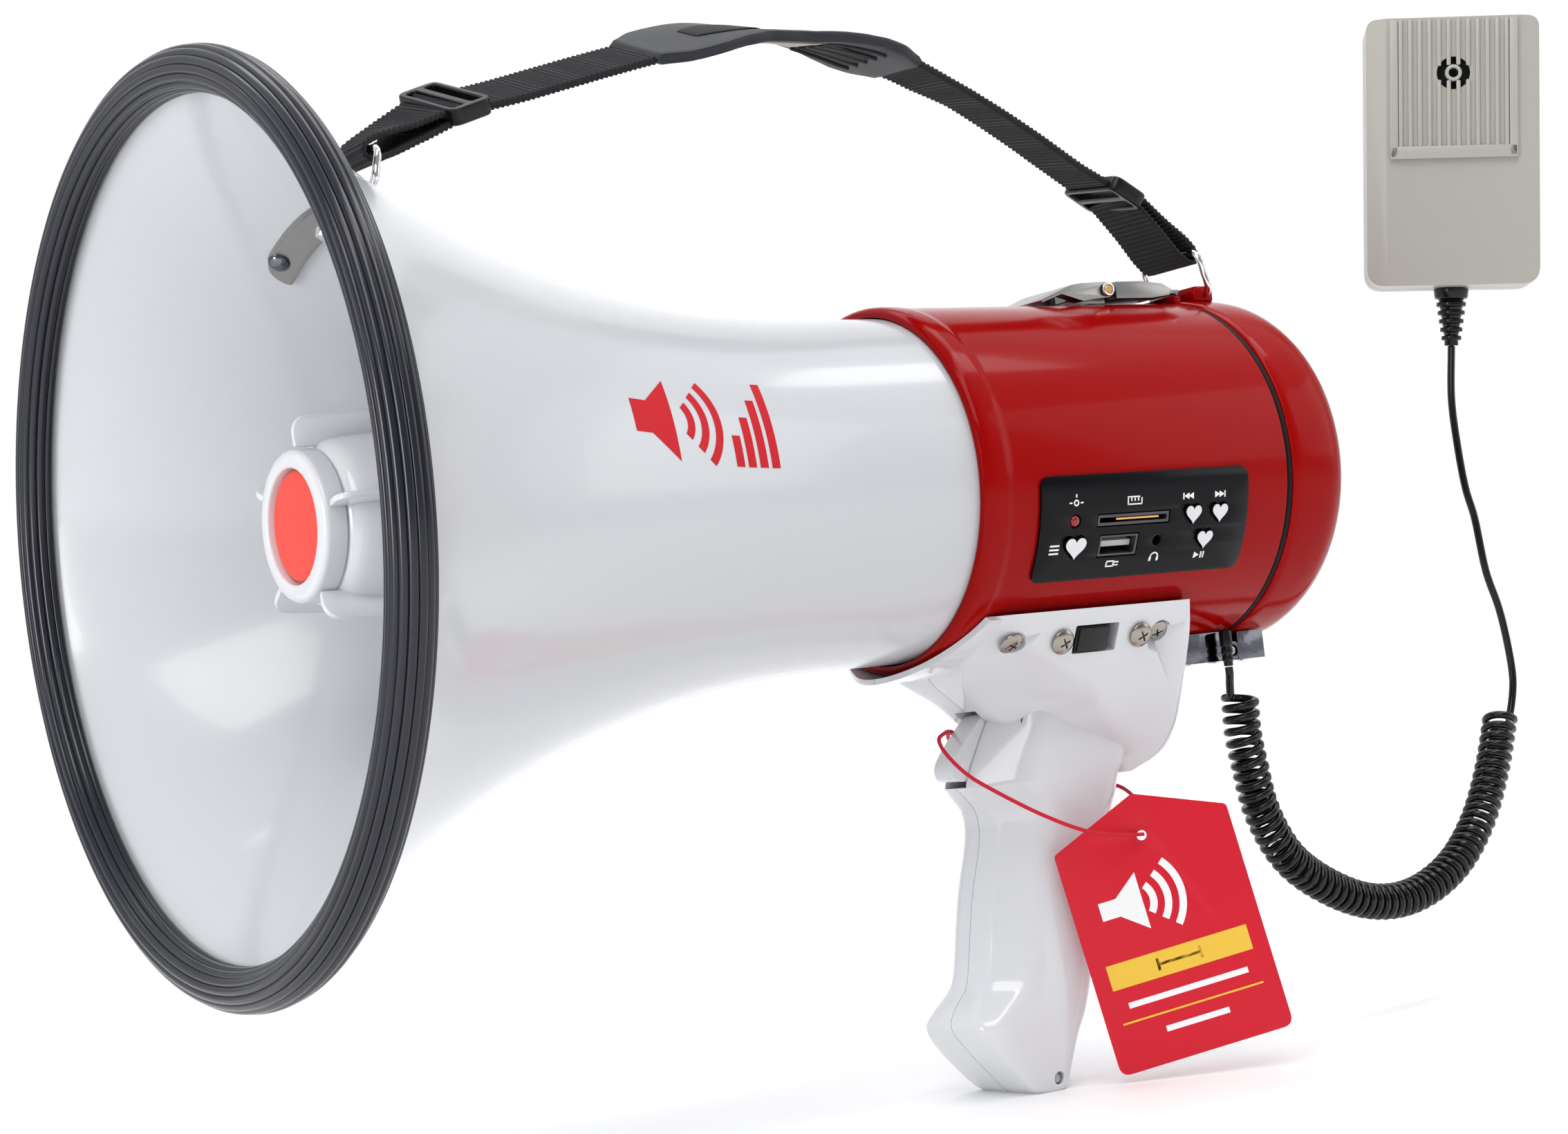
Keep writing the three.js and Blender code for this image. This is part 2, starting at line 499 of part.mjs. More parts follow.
// ---------------------------------------------------------------- strap
// Stations run from the front bail to the rear one: x, y, z of the middle, and twist.
const FRONT_SLIDER = { x: 77, z: 105.4 };
const REAR_SLIDER = { x: 291.5, z: 83.6 };
const loopAround = (barX, barZ, endX, endZ, gapHalf) => {
  const dx = endX - barX;
  const dz = endZ - barZ;
  const len = Math.hypot(dx, dz);
  const ux = dx / len;
  const uz = dz / len;
  const at = (along, off) => [barX + ux * along - uz * off, 0, barZ + uz * along + ux * off, 0];
  const turnR = 2.4;
  return [at(len, gapHalf), at(len * 0.5, gapHalf + 0.6), at(3, turnR + 0.3), at(-1.2, turnR - 0.4),
    at(-turnR - 0.3, 0), at(-1.2, 0.4 - turnR), at(3, -turnR - 0.3), at(len * 0.5, -gapHalf - 0.6),
    at(len, -gapHalf)];
};
add('strap_front_loop', band(loopAround(FRONT_BAIL_TOP[0], FRONT_BAIL_TOP[1], 70.5, 102.6, 1.5),
  STRAP_WIDTH, STRAP_THICK, 32), webbing);
add('strap_rear_loop', band(loopAround(REAR_BAIL_TOP[0], REAR_BAIL_TOP[1], 296.5, 79.3, 1.5),
  STRAP_WIDTH, STRAP_THICK, 32), webbing);
add('strap_webbing_front', band([[84.5, 0, 108], [94, 0, 111], [105.5, 0, 114.3], [122.7, 0, 119.1],
  [134, 0, 121.6]], STRAP_WIDTH, STRAP_THICK * 1.6, 12), webbing);
add('strap_webbing_rear', band([[223, 0, 118.6], [232, 0, 114.9], [243.6, 0, 110.1], [262, 0, 100.2],
  [277, 0, 91.2], [285.2, 0, 86.8]], STRAP_WIDTH, STRAP_THICK * 1.6, 14), webbing);
add('strap_pad', band([[134.8, 0, 121.8], [145, 0, 125.6], [159.7, 0, 129.6], [177.8, 0, 127.4],
  [198.5, 0, 124], [212, 0, 121.6], [222.2, 0, 119]], 34, 4.6, 18), blackPlastic);

function slider(name, x, z, tilt) {
  const frame = new THREE.Group();
  frame.position.set(x, 0, z);
  frame.rotation.y = rad(tilt);
  axisFrame.add(frame);
  const ring = cut(block(-6, 6, -13, 13, -2.6, 2.6), block(-4.2, -1, -10.8, 10.8, -4, 4),
    block(1, 4.2, -10.8, 10.8, -4, 4));
  add(name, ring, blackPlastic, frame);
}
slider('strap_slider_front', FRONT_SLIDER.x, FRONT_SLIDER.z, -19);
slider('strap_slider_rear', REAR_SLIDER.x, REAR_SLIDER.z, 30);

// ---------------------------------------------------------------- pistol grip
// Level sections: z, front x, rear x, half width, rear corner radius, half width of the front face, and
// how far back the sides reach their full width. The saddle's lie over the top of the handle's.
const HANDLE_SECTIONS = [
  [-50, 207, 262, 17, 6, 9.5, 14], [-52.7, 210.3, 264, 17, 6, 9, 13], [-62.4, 223, 268, 17, 6, 5, 10],
  [-64, 223.6, 268, 17, 6, 4.6, 9.5], [-72, 219, 268, 17, 7, 4.6, 11],
  [-81, 213.9, 265.5, 16.6, 8, 4.6, 12.5],
  [-83.3, 213.8, 263.5, 16.5, 8, 6, 12], [-84.5, 215.3, 262.8, 16.4, 8, 7, 11],
  [-90, 219.3, 261.2, 16.4, 9, 7.7, 10.5],
  [-98, 219.7, 257.5, 16.6, 9, 8, 10], [-111, 215.8, 253.3, 17, 9, 8, 10], [-122, 213.2, 250, 17, 9, 8, 10],
  [-133, 211, 246.8, 17, 9, 8, 10], [-138, 209.4, 245.3, 17, 9, 8.5, 9.5],
  [-143.5, 204.9, 243.1, 16.8, 8, 10, 8],
  [-148, 203.6, 241.4, 16.6, 8, 12.5, 5], [-154, 207.6, 237.8, 16.2, 7, 14, 3],
  [-162, 214.7, 234.4, 15.6, 6, 14, 2.5],
  [-166.6, 219, 232.8, 14.6, 5, 13, 2.5], [-AXIS_HEIGHT, 220.9, 232.3, 13.6, 5, 12, 2.5],
];
const SADDLE_SECTIONS = [
  [-38, 207, 275, 37.5, 2.5, 34, 3], [-46, 206, 277.2, 33.6, 2.5, 25, 14],
  [-54, 210, 278.5, 29.7, 3, 14, 23],
  [-60, 217, 279.4, 26.8, 4, 10, 26], [-66, 224, 280.6, 23.6, 5, 10, 26], [-72, 236, 281.7, 20.2, 6, 10, 22],
  [-78, 249, 280.1, 17.4, 7, 10, 15], [-81, 253, 275.5, 16.4, 6, 10, 10], [-84, 256, 266.5, 15.6, 4, 10, 6],
];

function sectionRing([z, front, rear, half, corner, nose, taper], inset = 0) {
  const r = Math.max(corner - inset, 1);
  const y = half - inset;
  const ring = [];
  for (let i = 0; i <= 3; i += 1) {
    ring.push([rear - inset - r + r * Math.cos(rad(30 * i)), y - r + r * Math.sin(rad(30 * i))]);
  }
  const shoulder = new THREE.Vector2(front + inset + taper, y);
  const noseEdge = new THREE.Vector2(front + inset, Math.max(nose - inset, 1.5));
  const slant = noseEdge.clone().sub(shoulder).normalize();
  ring.push([shoulder.x + 1.5, y], shoulder.clone().addScaledVector(slant, 1.5).toArray(),
    noseEdge.clone().addScaledVector(slant, -0.8).toArray(), [noseEdge.x, noseEdge.y - 0.8]);
  const mirrored = ring.map(([x, w]) => [x, -w]).reverse();
  return [...ring, ...mirrored].map(([x, w]) => V(x, w, z));
}

const SADDLE_R = 51;
const RECESS_Z = -47.5;
const RECESSED_X = [214.2, 265];
const SURFACE_X = [229.8, 257.3];
const SCREW_DOWN = 9.1;             // along the face, below its top edge
const LANYARD = { x: 227, z: -164.4 };
const tilt = rad(FACE_TILT);

// A point on a side face, x along it, down from its top edge, out from its surface. side is -1 or 1.
function onFace(x, down, out, side) {
  const y = FACE_TOP.y - down * Math.sin(tilt) + out * Math.cos(tilt);
  const z = FACE_TOP.z - down * Math.cos(tilt) - out * Math.sin(tilt);
  return [x, side * y, z];
}

function faceBox(x0, x1, down0, down1, out0, out1) {
  const g = new THREE.BoxGeometry(x1 - x0, out1 - out0, down1 - down0);
  g.rotateX(tilt).translate(...onFace((x0 + x1) / 2, (down0 + down1) / 2, (out0 + out1) / 2, -1));
  return g;
}

function handleBody() {
  const grip = join(loft(HANDLE_SECTIONS.map((s) => sectionRing(s))),
    loft(SADDLE_SECTIONS.map((s) => sectionRing(s))));
  const plan = new THREE.Shape([[214, -37], [206, -36.5], [198, -23], [191.5, -9], [190, 0], [191.5, 9],
    [198, 23],
    [206, 36.5], [214, 37]].map(([x, y]) => new THREE.Vector2(x, y)));
  const prism = new THREE.ExtrudeGeometry(plan, { depth: 30, bevelEnabled: false }).translate(0, 0, -60);
  const flange = common(sector(SADDLE_R - 0.05, SADDLE_R + 1.5, 228, 312, 186, 216, 28), prism);
  const hollow = HANDLE_SECTIONS.filter((s) => s[0] <= -90 && s[0] >= -154).map((s) => sectionRing(s, 2.8));
  return [join(grip, flange), [
    turned([[180, 0], [180, SADDLE_R], [300, SADDLE_R], [300, 0]], 72),
    loft(hollow),
    block(200, 235.2, -4.8, 4.8, -83.2, -62.6),
    block(230, 246, -4, 4, -82, -70),
    rod([TRIGGER_PIN.x, -13.3, TRIGGER_PIN.z], [TRIGGER_PIN.x, 13.3, TRIGGER_PIN.z],
      TRIGGER_PIN.r + GAP, 14),
    rod([LANYARD.x, -30, LANYARD.z], [LANYARD.x, 30, LANYARD.z], 1.8, 14),
  ]];
}

const [handleSolid, handleCuts] = handleBody();
const nearCuts = [
  faceBox(234.2, 249.4, 5, 13.2, -6.4, 4),
  ...SURFACE_X.map((x) => rod(onFace(x, SCREW_DOWN, 2, -1), onFace(x, SCREW_DOWN, -6.6, -1), 1.75, 12)),
  ...RECESSED_X.map((x) => rod([x, -45, RECESS_Z], [x, -28.6, RECESS_Z], 3.7, 16)),
  ...RECESSED_X.map((x) => rod([x, -30, RECESS_Z], [x, -22, RECESS_Z], 1.75, 12)),
];
const split = 0.15;
add('handle_near', cut(handleSolid, block(150, 320, -split, 80, -180, 0), ...handleCuts, ...nearCuts),
  whitePlastic);
add('handle_far', cut(handleSolid, block(150, 320, -80, split, -180, 0), ...handleCuts), whitePlastic);

// Pan-head screws on the near face.
function panScrew(name, from, to) {
  const head = V(...from);
  const axis = V(...to).sub(head).normalize();
  const at = (d) => head.clone().addScaledVector(axis, d).toArray();
  add(name, join(rod(at(0), at(5.6), 1.4, 10), rod(at(0.7), at(0), 2.9, 14), rod(at(0.1), at(-0.9), 2.9,
    14, 1.7)),
    chrome);
}
SURFACE_X.forEach((x, i) => {
  panScrew(`handle_screw_${i + 1}`, onFace(x, SCREW_DOWN, 1.1, -1), onFace(x, SCREW_DOWN, 0, -1));
});

add('lanyard_pin', rod([LANYARD.x, -14.2, LANYARD.z], [LANYARD.x, 14.2, LANYARD.z], 1.4, 12), steel);

// Slide switch on the near face: the knob's travel is along X.
add('slide_switch_body', faceBox(234.6, 249, 5.4, 12.8, -5, -3.4), blackPlastic);
add('slide_switch_knob', faceBox(234.6, 246.2, 5.5, 12.7, -3, 0.5), blackPlastic);

// Trigger with its pin and the microswitch behind it.
const triggerEye = (half, r) => rod([TRIGGER_PIN.x, -half, TRIGGER_PIN.z],
  [TRIGGER_PIN.x, half, TRIGGER_PIN.z], r, 14);
add('trigger', cut(plateY([[226.5, -63.4], [222.8, -63.6], [217, -69], [211.8, -74.5], [210.2, -77.5],
  [210.6, -80.2], [212.5, -81.4], [219, -81.6], [226, -81.8], [230, -76], [231.2, -70], [234, -68.5],
  [234, -63.4]], -4.4, 4.4),
triggerEye(20, TRIGGER_PIN.r + 0.35)), whitePlastic);
add('trigger_pin', triggerEye(13, TRIGGER_PIN.r), steel);
add('trigger_switch', join(block(233, 245, -3.6, 3.6, -81.4, -70.6), rod([233.4, 0, -76],
  [231.3, 0, -76], 0.9, 8)),
  blackPlastic);

// ---------------------------------------------------------------- microphone
const mic = new THREE.Group();
mic.position.set(...MIC_POSITION);
mic.rotation.set(...MIC_ANGLES.map(rad), 'ZXY');
axisFrame.add(mic);

function roundedBox(w, h, rTop, rBottom) {
  const s = new THREE.Shape();
  s.moveTo(-w / 2 + rBottom, -h / 2);
  s.absarc(w / 2 - rBottom, -h / 2 + rBottom, rBottom, -Math.PI / 2, 0, false);
  s.absarc(w / 2 - rTop, h / 2 - rTop, rTop, 0, Math.PI / 2, false);
  s.absarc(-w / 2 + rTop, h / 2 - rTop, rTop, Math.PI / 2, Math.PI, false);
  s.absarc(-w / 2 + rBottom, -h / 2 + rBottom, rBottom, Math.PI, Math.PI * 1.5, false);
  return s;
}
const { w: MW, h: MH, d: MD } = MIC_SIZE;
const micOutline = roundedBox(MW, MH, 3.7, 6);
const micInside = roundedBox(MW - 4.4, MH - 4.4, 2.5, 4.5);
const GRILLE = { w: 40, h: 44, z: 19.5, front: -MD / 2 - 2 };
add('mic_front', cut(shapeY(micOutline, -MD / 2, 0), shapeY(micInside, -MD / 2 + 2.2, 1),
  rod([0, -16, 24.5], [0, -8, 24.5], 6.4, 14)), micGrey, mic);
add('mic_back', cut(shapeY(micOutline, GAP, MD / 2), shapeY(micInside, -1, MD / 2 - 2.2),
  block(-12.4, 12.4, 8, 16, -2.4, 22.4)), micGrey, mic);
const ribCount = 12;
const ribPitch = 3;
const grilleCuts = [];
for (let i = 0; i < ribCount - 1; i += 1) {
  const x = (i - (ribCount - 2) / 2) * ribPitch;
  grilleCuts.push(block(x - 0.8, x + 0.8, GRILLE.front - 1, GRILLE.front + 1.1, GRILLE.z - 18.5,
    GRILLE.z + 30));
}
add('mic_grille', cut(block(-GRILLE.w / 2, GRILLE.w / 2, GRILLE.front, -MD / 2 - GAP, GRILLE.z - 22,
  GRILLE.z + 22),
  ...grilleCuts), micGrey, mic);
add('mic_capsule', rod([0, -12, 24.5], [0, -4, 24.5], 5.6, 16), blackPlastic, mic);
add('mic_button', block(-12, 12, 8.4, 15.6, -2, 22), micGrey, mic);
add('mic_strain_relief', rod([0, 0, -MH / 2 - GAP], [0, 0, -MH / 2 - 18.6], 5.8, 12, 2.7), rubber, mic);

// ---------------------------------------------------------------- microphone cord
// Centre lines, from the gland under the body to the microphone's strain relief.
const COIL_ROUTE = [[306.4, -17, -66.3], [306.9, -16, -77.4], [308.9, -15, -86.4], [313.4, -13, -100.5],
  [323.4, -11, -114.9], [340.8, -9, -126.1], [360.2, -7, -132.5], [379.2, -5, -132.5], [398.5, -3, -125.7],
  [413.2, -1, -113.9], [424.5, 1, -98.5], [433.1, 3, -82.5]];
add('curly_cord', wire(COIL_ROUTE, COIL_R, 36, 10), blackPlastic);
add('cord_lead_lower', wire([[GLAND.x, GLAND.y, GLAND.z - GAP], [300.2, -20.7, -59.8], [301, -19.4, -62.4],
  [301.8, -18, -64.9]], WIRE_R, 6, 8), blackPlastic);
mic.updateMatrix();
const micBottom = V(0, 0, -MH / 2 - 18.9).applyMatrix4(mic.matrix);
add('cord_lead_upper', wire([[436.9, 3.5, -81.6], [440, 3.5, -77], [441.3, 3.5, -70.8], [440.9, 3.6, -60.6],
  [439.3, 4, -48.4], [436.1, 4.6, -36.4], [434.6, 5.4, -18.5], [433.1, 6.2, -9.5], [432.7, 7.2, 5.3],
  [433.8, 8.4, 19.8], micBottom.toArray()], WIRE_R, 44, 8), blackPlastic);

// ---------------------------------------------------------------- swing tag on a string
const tag = new THREE.Group();
tag.position.set(249.7, -34, -101);
tag.rotation.set(...TAG_ANGLES.map(rad), 'ZXY');
axisFrame.add(tag);
const TAG_LEAN = -17.1;
const tagShape = new THREE.Shape();
tagShape.moveTo(-21.6, -61.6);
tagShape.lineTo(21.6, -61.6);
tagShape.absarc(21.6, -58.6, 3, -Math.PI / 2, 0, false);
tagShape.lineTo(24.6, 1.5);
tagShape.lineTo(0.6, 11.7);
tagShape.lineTo(-24.6, 1.5);
tagShape.absarc(-21.6, -58.6, 3, Math.PI, Math.PI * 1.5, false);
add('hang_tag', cut(shapeY(tagShape, -0.4, 0.4), rod([0, -2, 0], [0, 2, 0], 1.3, 14)), tagRed, tag)
  .rotation.y = rad(TAG_LEAN);
add('tag_string', wire([[249.3, -35.4, -100.7], [243, -34.6, -100.2], [232.5, -32, -97.9],
  [223.6, -26, -92.7],
  [212.1, -20.5, -84.7], [205.6, -17, -79.2], [202.7, -12, -72.7], [204.1, -8, -69.3], [210.1, -3, -67.6],
  [216, 3, -67.4], [219.5, 6.4, -67.7], [224, 14.5, -68.5], [232, 23, -71], [245, 24, -75.5],
  [257, 20.5, -80.5],
  [267, 14.5, -85.4], [269.8, 6, -86.8], [269.8, -3, -88.5], [267, -12, -91.5], [261, -22, -95],
  [254.7, -28, -98.2]], 0.55, 84), tagRed);

export default megaphone;
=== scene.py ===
"""Looks of the handheld megaphone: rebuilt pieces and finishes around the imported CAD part."""
import math

import bmesh
import bpy
from mathutils import Matrix, Vector


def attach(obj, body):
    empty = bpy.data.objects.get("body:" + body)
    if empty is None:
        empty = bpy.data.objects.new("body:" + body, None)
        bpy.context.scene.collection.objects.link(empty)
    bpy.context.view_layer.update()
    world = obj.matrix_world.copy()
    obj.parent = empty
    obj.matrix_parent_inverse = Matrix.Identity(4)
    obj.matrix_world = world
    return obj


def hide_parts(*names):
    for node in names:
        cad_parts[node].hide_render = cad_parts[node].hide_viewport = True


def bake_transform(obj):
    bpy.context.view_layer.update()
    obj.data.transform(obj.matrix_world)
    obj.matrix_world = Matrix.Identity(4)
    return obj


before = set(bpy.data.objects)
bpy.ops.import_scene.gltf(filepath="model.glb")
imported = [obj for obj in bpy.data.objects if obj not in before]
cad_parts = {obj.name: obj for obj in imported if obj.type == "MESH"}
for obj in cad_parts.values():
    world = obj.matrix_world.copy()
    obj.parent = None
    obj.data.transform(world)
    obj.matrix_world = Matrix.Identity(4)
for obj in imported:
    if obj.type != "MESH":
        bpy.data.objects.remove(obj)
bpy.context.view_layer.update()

# Pieces are drawn in millimetres in the axis frame: x along the bell's axis from its mouth,
# y across (the control panel is on the -Y side), z up from the axis.
MM = 0.001
GRIP_BASE_X = 227
AXIS_HEIGHT = 168
TO_FRAME = Matrix.Scale(MM, 4) @ Matrix.Translation((-GRIP_BASE_X, 0, AXIS_HEIGHT))
GAP = 0.3

MOUTH_R = 109.2
BUMPER_R = 5.8
NECK_R = 47.5
BELL_WALL = 2.6
BODY_R = 50.3
CAP_R = 50.8
PANEL_ANGLES = (183.3, 216.5)
PANEL_X = (215, 288.4)
PANEL_R = (49.6, 51.1)
PANEL_MIDDLE = sum(PANEL_ANGLES) / 2
PANEL_SLICES = 13
SLICE_MM = 1.05
FACE_TILT = math.radians(26.03)
FACE_TOP = (37.5, -38)
LATCH_PIN = (279, 53.6)
TRIGGER_PIN = (230.5, -67)
STRAP_WIDTH = 20
MIC_PLACE = (440.7, 3, 98)
MIC_TURN = (2.9, 6.1, -42)
TAG_TURN = (2.9, 6.1, -33.8)
MIC_W, MIC_H, MIC_D = 54, 85, 27
WIRE_R = 1.2
COIL_R = 5.6
COIL_TURNS = 58
ROOT = "megaphone"


# ---------------------------------------------------------------- camera
CAMERA_PLACE = (-0.51272, -0.67242, 0.10916)
CAMERA_RIGHT = (0.8288, -0.5492, -0.1068)
CAMERA_BACK = (-0.5561, -0.8296, -0.0497)
LENS_MM = 69.36
PICTURE_SIZE = (2268, 1640)


def linked(name, data):
    obj = bpy.data.objects.new(name, data)
    bpy.context.scene.collection.objects.link(obj)
    return obj


def basis_of(u, v, w):
    return Matrix((u, v, w)).transposed().to_4x4()


def make_camera():
    data = bpy.data.cameras.new("camera")
    data.sensor_width = 36
    data.lens = LENS_MM
    data.clip_start = 0.02
    camera = linked("camera", data)
    back = Vector(CAMERA_BACK).normalized()
    up = back.cross(Vector(CAMERA_RIGHT).normalized()).normalized()
    camera.matrix_world = Matrix.Translation(CAMERA_PLACE) @ basis_of(up.cross(back), up, back)
    scene = bpy.context.scene
    scene.camera = camera
    scene.render.resolution_x, scene.render.resolution_y = PICTURE_SIZE


# ---------------------------------------------------------------- finishes
ROUGH_SPREAD = 0.15
COAT_ROUGHNESS = 0.05
GRAIN_DEPTH = 0.0002
WEAVE_DEPTH = 0.0003
WEAVE_SCALE = 1600


def new_material(name):
    material = bpy.data.materials.new(name)
    material.use_nodes = True
    tree = material.node_tree
    return material, tree, tree.nodes["Principled BSDF"]


def set_inputs(node, values):
    """Sets each named input, with _ in place of a space."""
    for name, value in values.items():
        node.inputs[name.replace("_", " ")].default_value = value


def add_node(tree, kind, source=None, **values):
    """A new node; source is (node's output, the name of the input that it feeds)."""
    node = tree.nodes.new("ShaderNode" + kind)
    set_inputs(node, values)
    if source is not None:
        tree.links.new(source[0], node.inputs[source[1]])
    return node


def add_bump(tree, shader, height, strength, distance):
    relief = add_node(tree, "Bump", (height, "Height"), Strength=strength, Distance=distance)
    tree.links.new(relief.outputs["Normal"], shader.inputs["Normal"])


def finish(name, color, roughness, metallic=0.0, coat=0.0, spread=0.06, scale=60.0, bump=0.0, grain=900.0,
           gloss=0.5):
    """A surface whose colour and roughness vary a little, with a fine grain where bump is above 0."""
    material, tree, shader = new_material(name)
    where = add_node(tree, "TexCoord").outputs["Object"]
    noise = add_node(tree, "TexNoise", (where, "Vector"), Scale=scale, Detail=4).outputs["Fac"]
    tone = add_node(tree, "MapRange", (noise, "Value"), To_Min=1 - spread, To_Max=1 + spread)
    mix = add_node(tree, "VectorMath")
    mix.operation = "SCALE"
    mix.inputs[0].default_value = color
    tree.links.new(tone.outputs["Result"], mix.inputs["Scale"])
    tree.links.new(mix.outputs["Vector"], shader.inputs["Base Color"])
    rough = add_node(tree, "MapRange", (noise, "Value"), To_Min=roughness * (1 - ROUGH_SPREAD),
                     To_Max=min(1.0, roughness * (1 + ROUGH_SPREAD)))
    tree.links.new(rough.outputs["Result"], shader.inputs["Roughness"])
    set_inputs(shader, {"Metallic": metallic, "Specular IOR Level": gloss, "Coat Weight": coat,
                        "Coat Roughness": COAT_ROUGHNESS})
    if bump:
        fine = add_node(tree, "TexNoise", (where, "Vector"), Scale=grain, Detail=3)
        add_bump(tree, shader, fine.outputs["Fac"], bump, GRAIN_DEPTH)
    return material


WHITE = finish("white_gloss_plastic", (0.66, 0.665, 0.685), 0.14, coat=0.35, spread=0.008, scale=14)
# The bell is given a darker, bluer copy of the white plastic: painted shade on the bell.
BELL_WHITE_PAINTED_SHADE = finish("bell_white_painted_shade", (0.565, 0.575, 0.595), 0.18, coat=0.25, spread=0.008, scale=9)
RED = finish("red_gloss_plastic", (0.30, 0.0008, 0.0008), 0.15, coat=0.06, spread=0.03, scale=12, gloss=0.07)
DISC_RED = finish("disc_light_red", (0.86, 0.06, 0.04), 0.4, spread=0.02, scale=40, bump=0.08, gloss=0.3)
PRINT_RED = finish("print_red", (0.55, 0.004, 0.012), 0.45, spread=0.02, scale=40, gloss=0.2)
RUBBER = finish("ribbed_rubber", (0.010, 0.011, 0.017), 0.2, spread=0.12, scale=25, bump=0.04, gloss=0.45)
BLACK = finish("black_plastic", (0.005, 0.005, 0.006), 0.28, spread=0.1, bump=0.1, gloss=0.3)
PANEL_BLACK = finish("panel_gloss_black", (0.003, 0.003, 0.004), 0.22, coat=0.05, spread=0.08, gloss=0.12)
CORD_BLACK = finish("cord_black", (0.004, 0.004, 0.005), 0.2, spread=0.1, bump=0.05, grain=600, gloss=0.35)
PAD_GREY = finish("pad_grey_rubber", (0.02, 0.021, 0.026), 0.5, spread=0.1, bump=0.25, grain=1400, gloss=0.3)
PAD_BEIGE = finish("pad_beige_lining", (0.42, 0.39, 0.33), 0.7, spread=0.05, bump=0.2)
CHROME = finish("bright_chrome", (0.80, 0.80, 0.81), 0.09, metallic=1.0, spread=0.02)
NICKEL = finish("nickel", (0.34, 0.31, 0.27), 0.16, metallic=1.0, spread=0.05, scale=300)
HEART_CHROME = finish("button_chrome", (0.62, 0.62, 0.63), 0.12, metallic=1.0, spread=0.04, scale=200)
SATIN = finish("satin_steel", (0.36, 0.35, 0.34), 0.3, metallic=1.0, spread=0.06, scale=120, bump=0.05)
STEEL = finish("plain_steel", (0.40, 0.40, 0.41), 0.32, metallic=1.0, spread=0.05)
# The socket shells are near-black steel: painted shade inside the sockets.
SOCKET_SHELL_PAINTED_SHADE = finish("socket_shell_painted_shade", (0.09, 0.09, 0.095), 0.35, metallic=1.0, spread=0.05)
DARK_CHROME = finish("dark_chrome", (0.16, 0.16, 0.18), 0.12, metallic=1.0, spread=0.3, scale=260,
                     bump=1.0, grain=170)
BRASS = finish("brass", (0.70, 0.38, 0.13), 0.22, metallic=1.0, spread=0.05)
MIC_GREY = finish("mic_warm_grey", (0.40, 0.39, 0.35), 0.36, spread=0.015, scale=30, bump=0.1, grain=1500)
BOARD = finish("board_green", (0.02, 0.12, 0.05), 0.4)
CELL = finish("cell_sleeve_blue", (0.03, 0.08, 0.3), 0.35)
TAG_RED = finish("tag_red_card", (0.60, 0.010, 0.026), 0.42, spread=0.02, scale=30, bump=0.04, gloss=0.25)
STRING_RED = finish("string_red", (0.55, 0.010, 0.028), 0.7, spread=0.1, bump=0.3, grain=2500, gloss=0.3)
PRINT_WHITE = finish("print_white", (0.85, 0.85, 0.85), 0.5, spread=0.01)
PRINT_YELLOW = finish("print_yellow", (0.80, 0.50, 0.04), 0.5, spread=0.02)
SHADOW_BLACK = finish("opening_black", (0.003, 0.003, 0.003), 0.6, spread=0.05, gloss=0.2)
LENS_RED = finish("lens_red", (0.25, 0.002, 0.002), 0.08, coat=0.3, spread=0.03)
SOCKET_WHITE = finish("socket_tongue", (0.50, 0.50, 0.50), 0.4)


def webbing_material():
    material, tree, shader = new_material("black_webbing")
    where = add_node(tree, "TexCoord").outputs["Object"]
    noise = add_node(tree, "TexNoise", (where, "Vector"), Scale=WEAVE_SCALE).outputs["Fac"]
    ramp = add_node(tree, "ValToRGB", (noise, "Fac"))
    ramp.color_ramp.elements[0].color = (0.004, 0.004, 0.005, 1)
    ramp.color_ramp.elements[1].color = (0.022, 0.022, 0.025, 1)
    tree.links.new(ramp.outputs["Color"], shader.inputs["Base Color"])
    add_bump(tree, shader, noise, 0.5, WEAVE_DEPTH)
    set_inputs(shader, {"Roughness": 0.72, "Sheen Weight": 0.08, "Specular IOR Level": 0.2})
    return material


WEBBING = webbing_material()


# ---------------------------------------------------------------- building
def cleaned(mesh, reach, flat=0):
    """Merges vertices within reach, and faces that are within `flat` degrees of each other."""
    work = bmesh.new()
    work.from_mesh(mesh)
    bmesh.ops.remove_doubles(work, verts=work.verts, dist=reach)
    if flat:
        bmesh.ops.dissolve_limit(work, angle_limit=math.radians(flat), verts=work.verts, edges=work.edges)
    bmesh.ops.recalc_face_normals(work, faces=work.faces)
    work.to_mesh(mesh)
    work.free()


def new_object(name, verts, faces):
    mesh = bpy.data.meshes.new(name)
    mesh.from_pydata([tuple(v) for v in verts], [], faces)
    cleaned(mesh, 1e-4)
    return linked(name, mesh)


def bake(obj):
    bpy.context.view_layer.update()
    graph = bpy.context.evaluated_depsgraph_get()
    mesh = bpy.data.meshes.new_from_object(obj.evaluated_get(graph))
    obj.modifiers.clear()
    obj.data = mesh
    return obj


def bevelled(obj, width, segments=2, angle=35):
    modifier = obj.modifiers.new("bevel", "BEVEL")
    modifier.width = width
    modifier.segments = segments
    modifier.limit_method = "ANGLE"
    modifier.angle_limit = math.radians(angle)
    return bake(obj)


def combine(obj, others, operation):
    for other in others:
        modifier = obj.modifiers.new("combine", "BOOLEAN")
        modifier.operation = operation
        modifier.solver = "EXACT"
        modifier.object = other
        bake(obj)
        bpy.data.objects.remove(other)
    return obj


def cut(obj, *tools):
    return combine(obj, tools, "DIFFERENCE")


def united(obj, *more):
    return combine(obj, more, "UNION")


def joined(obj, *others):
    """The pieces as one mesh, not fused."""
    whole = bmesh.new()
    for piece in (obj, *others):
        whole.from_mesh(piece.data)
    whole.to_mesh(obj.data)
    whole.free()
    for piece in others:
        bpy.data.objects.remove(piece)
    return obj


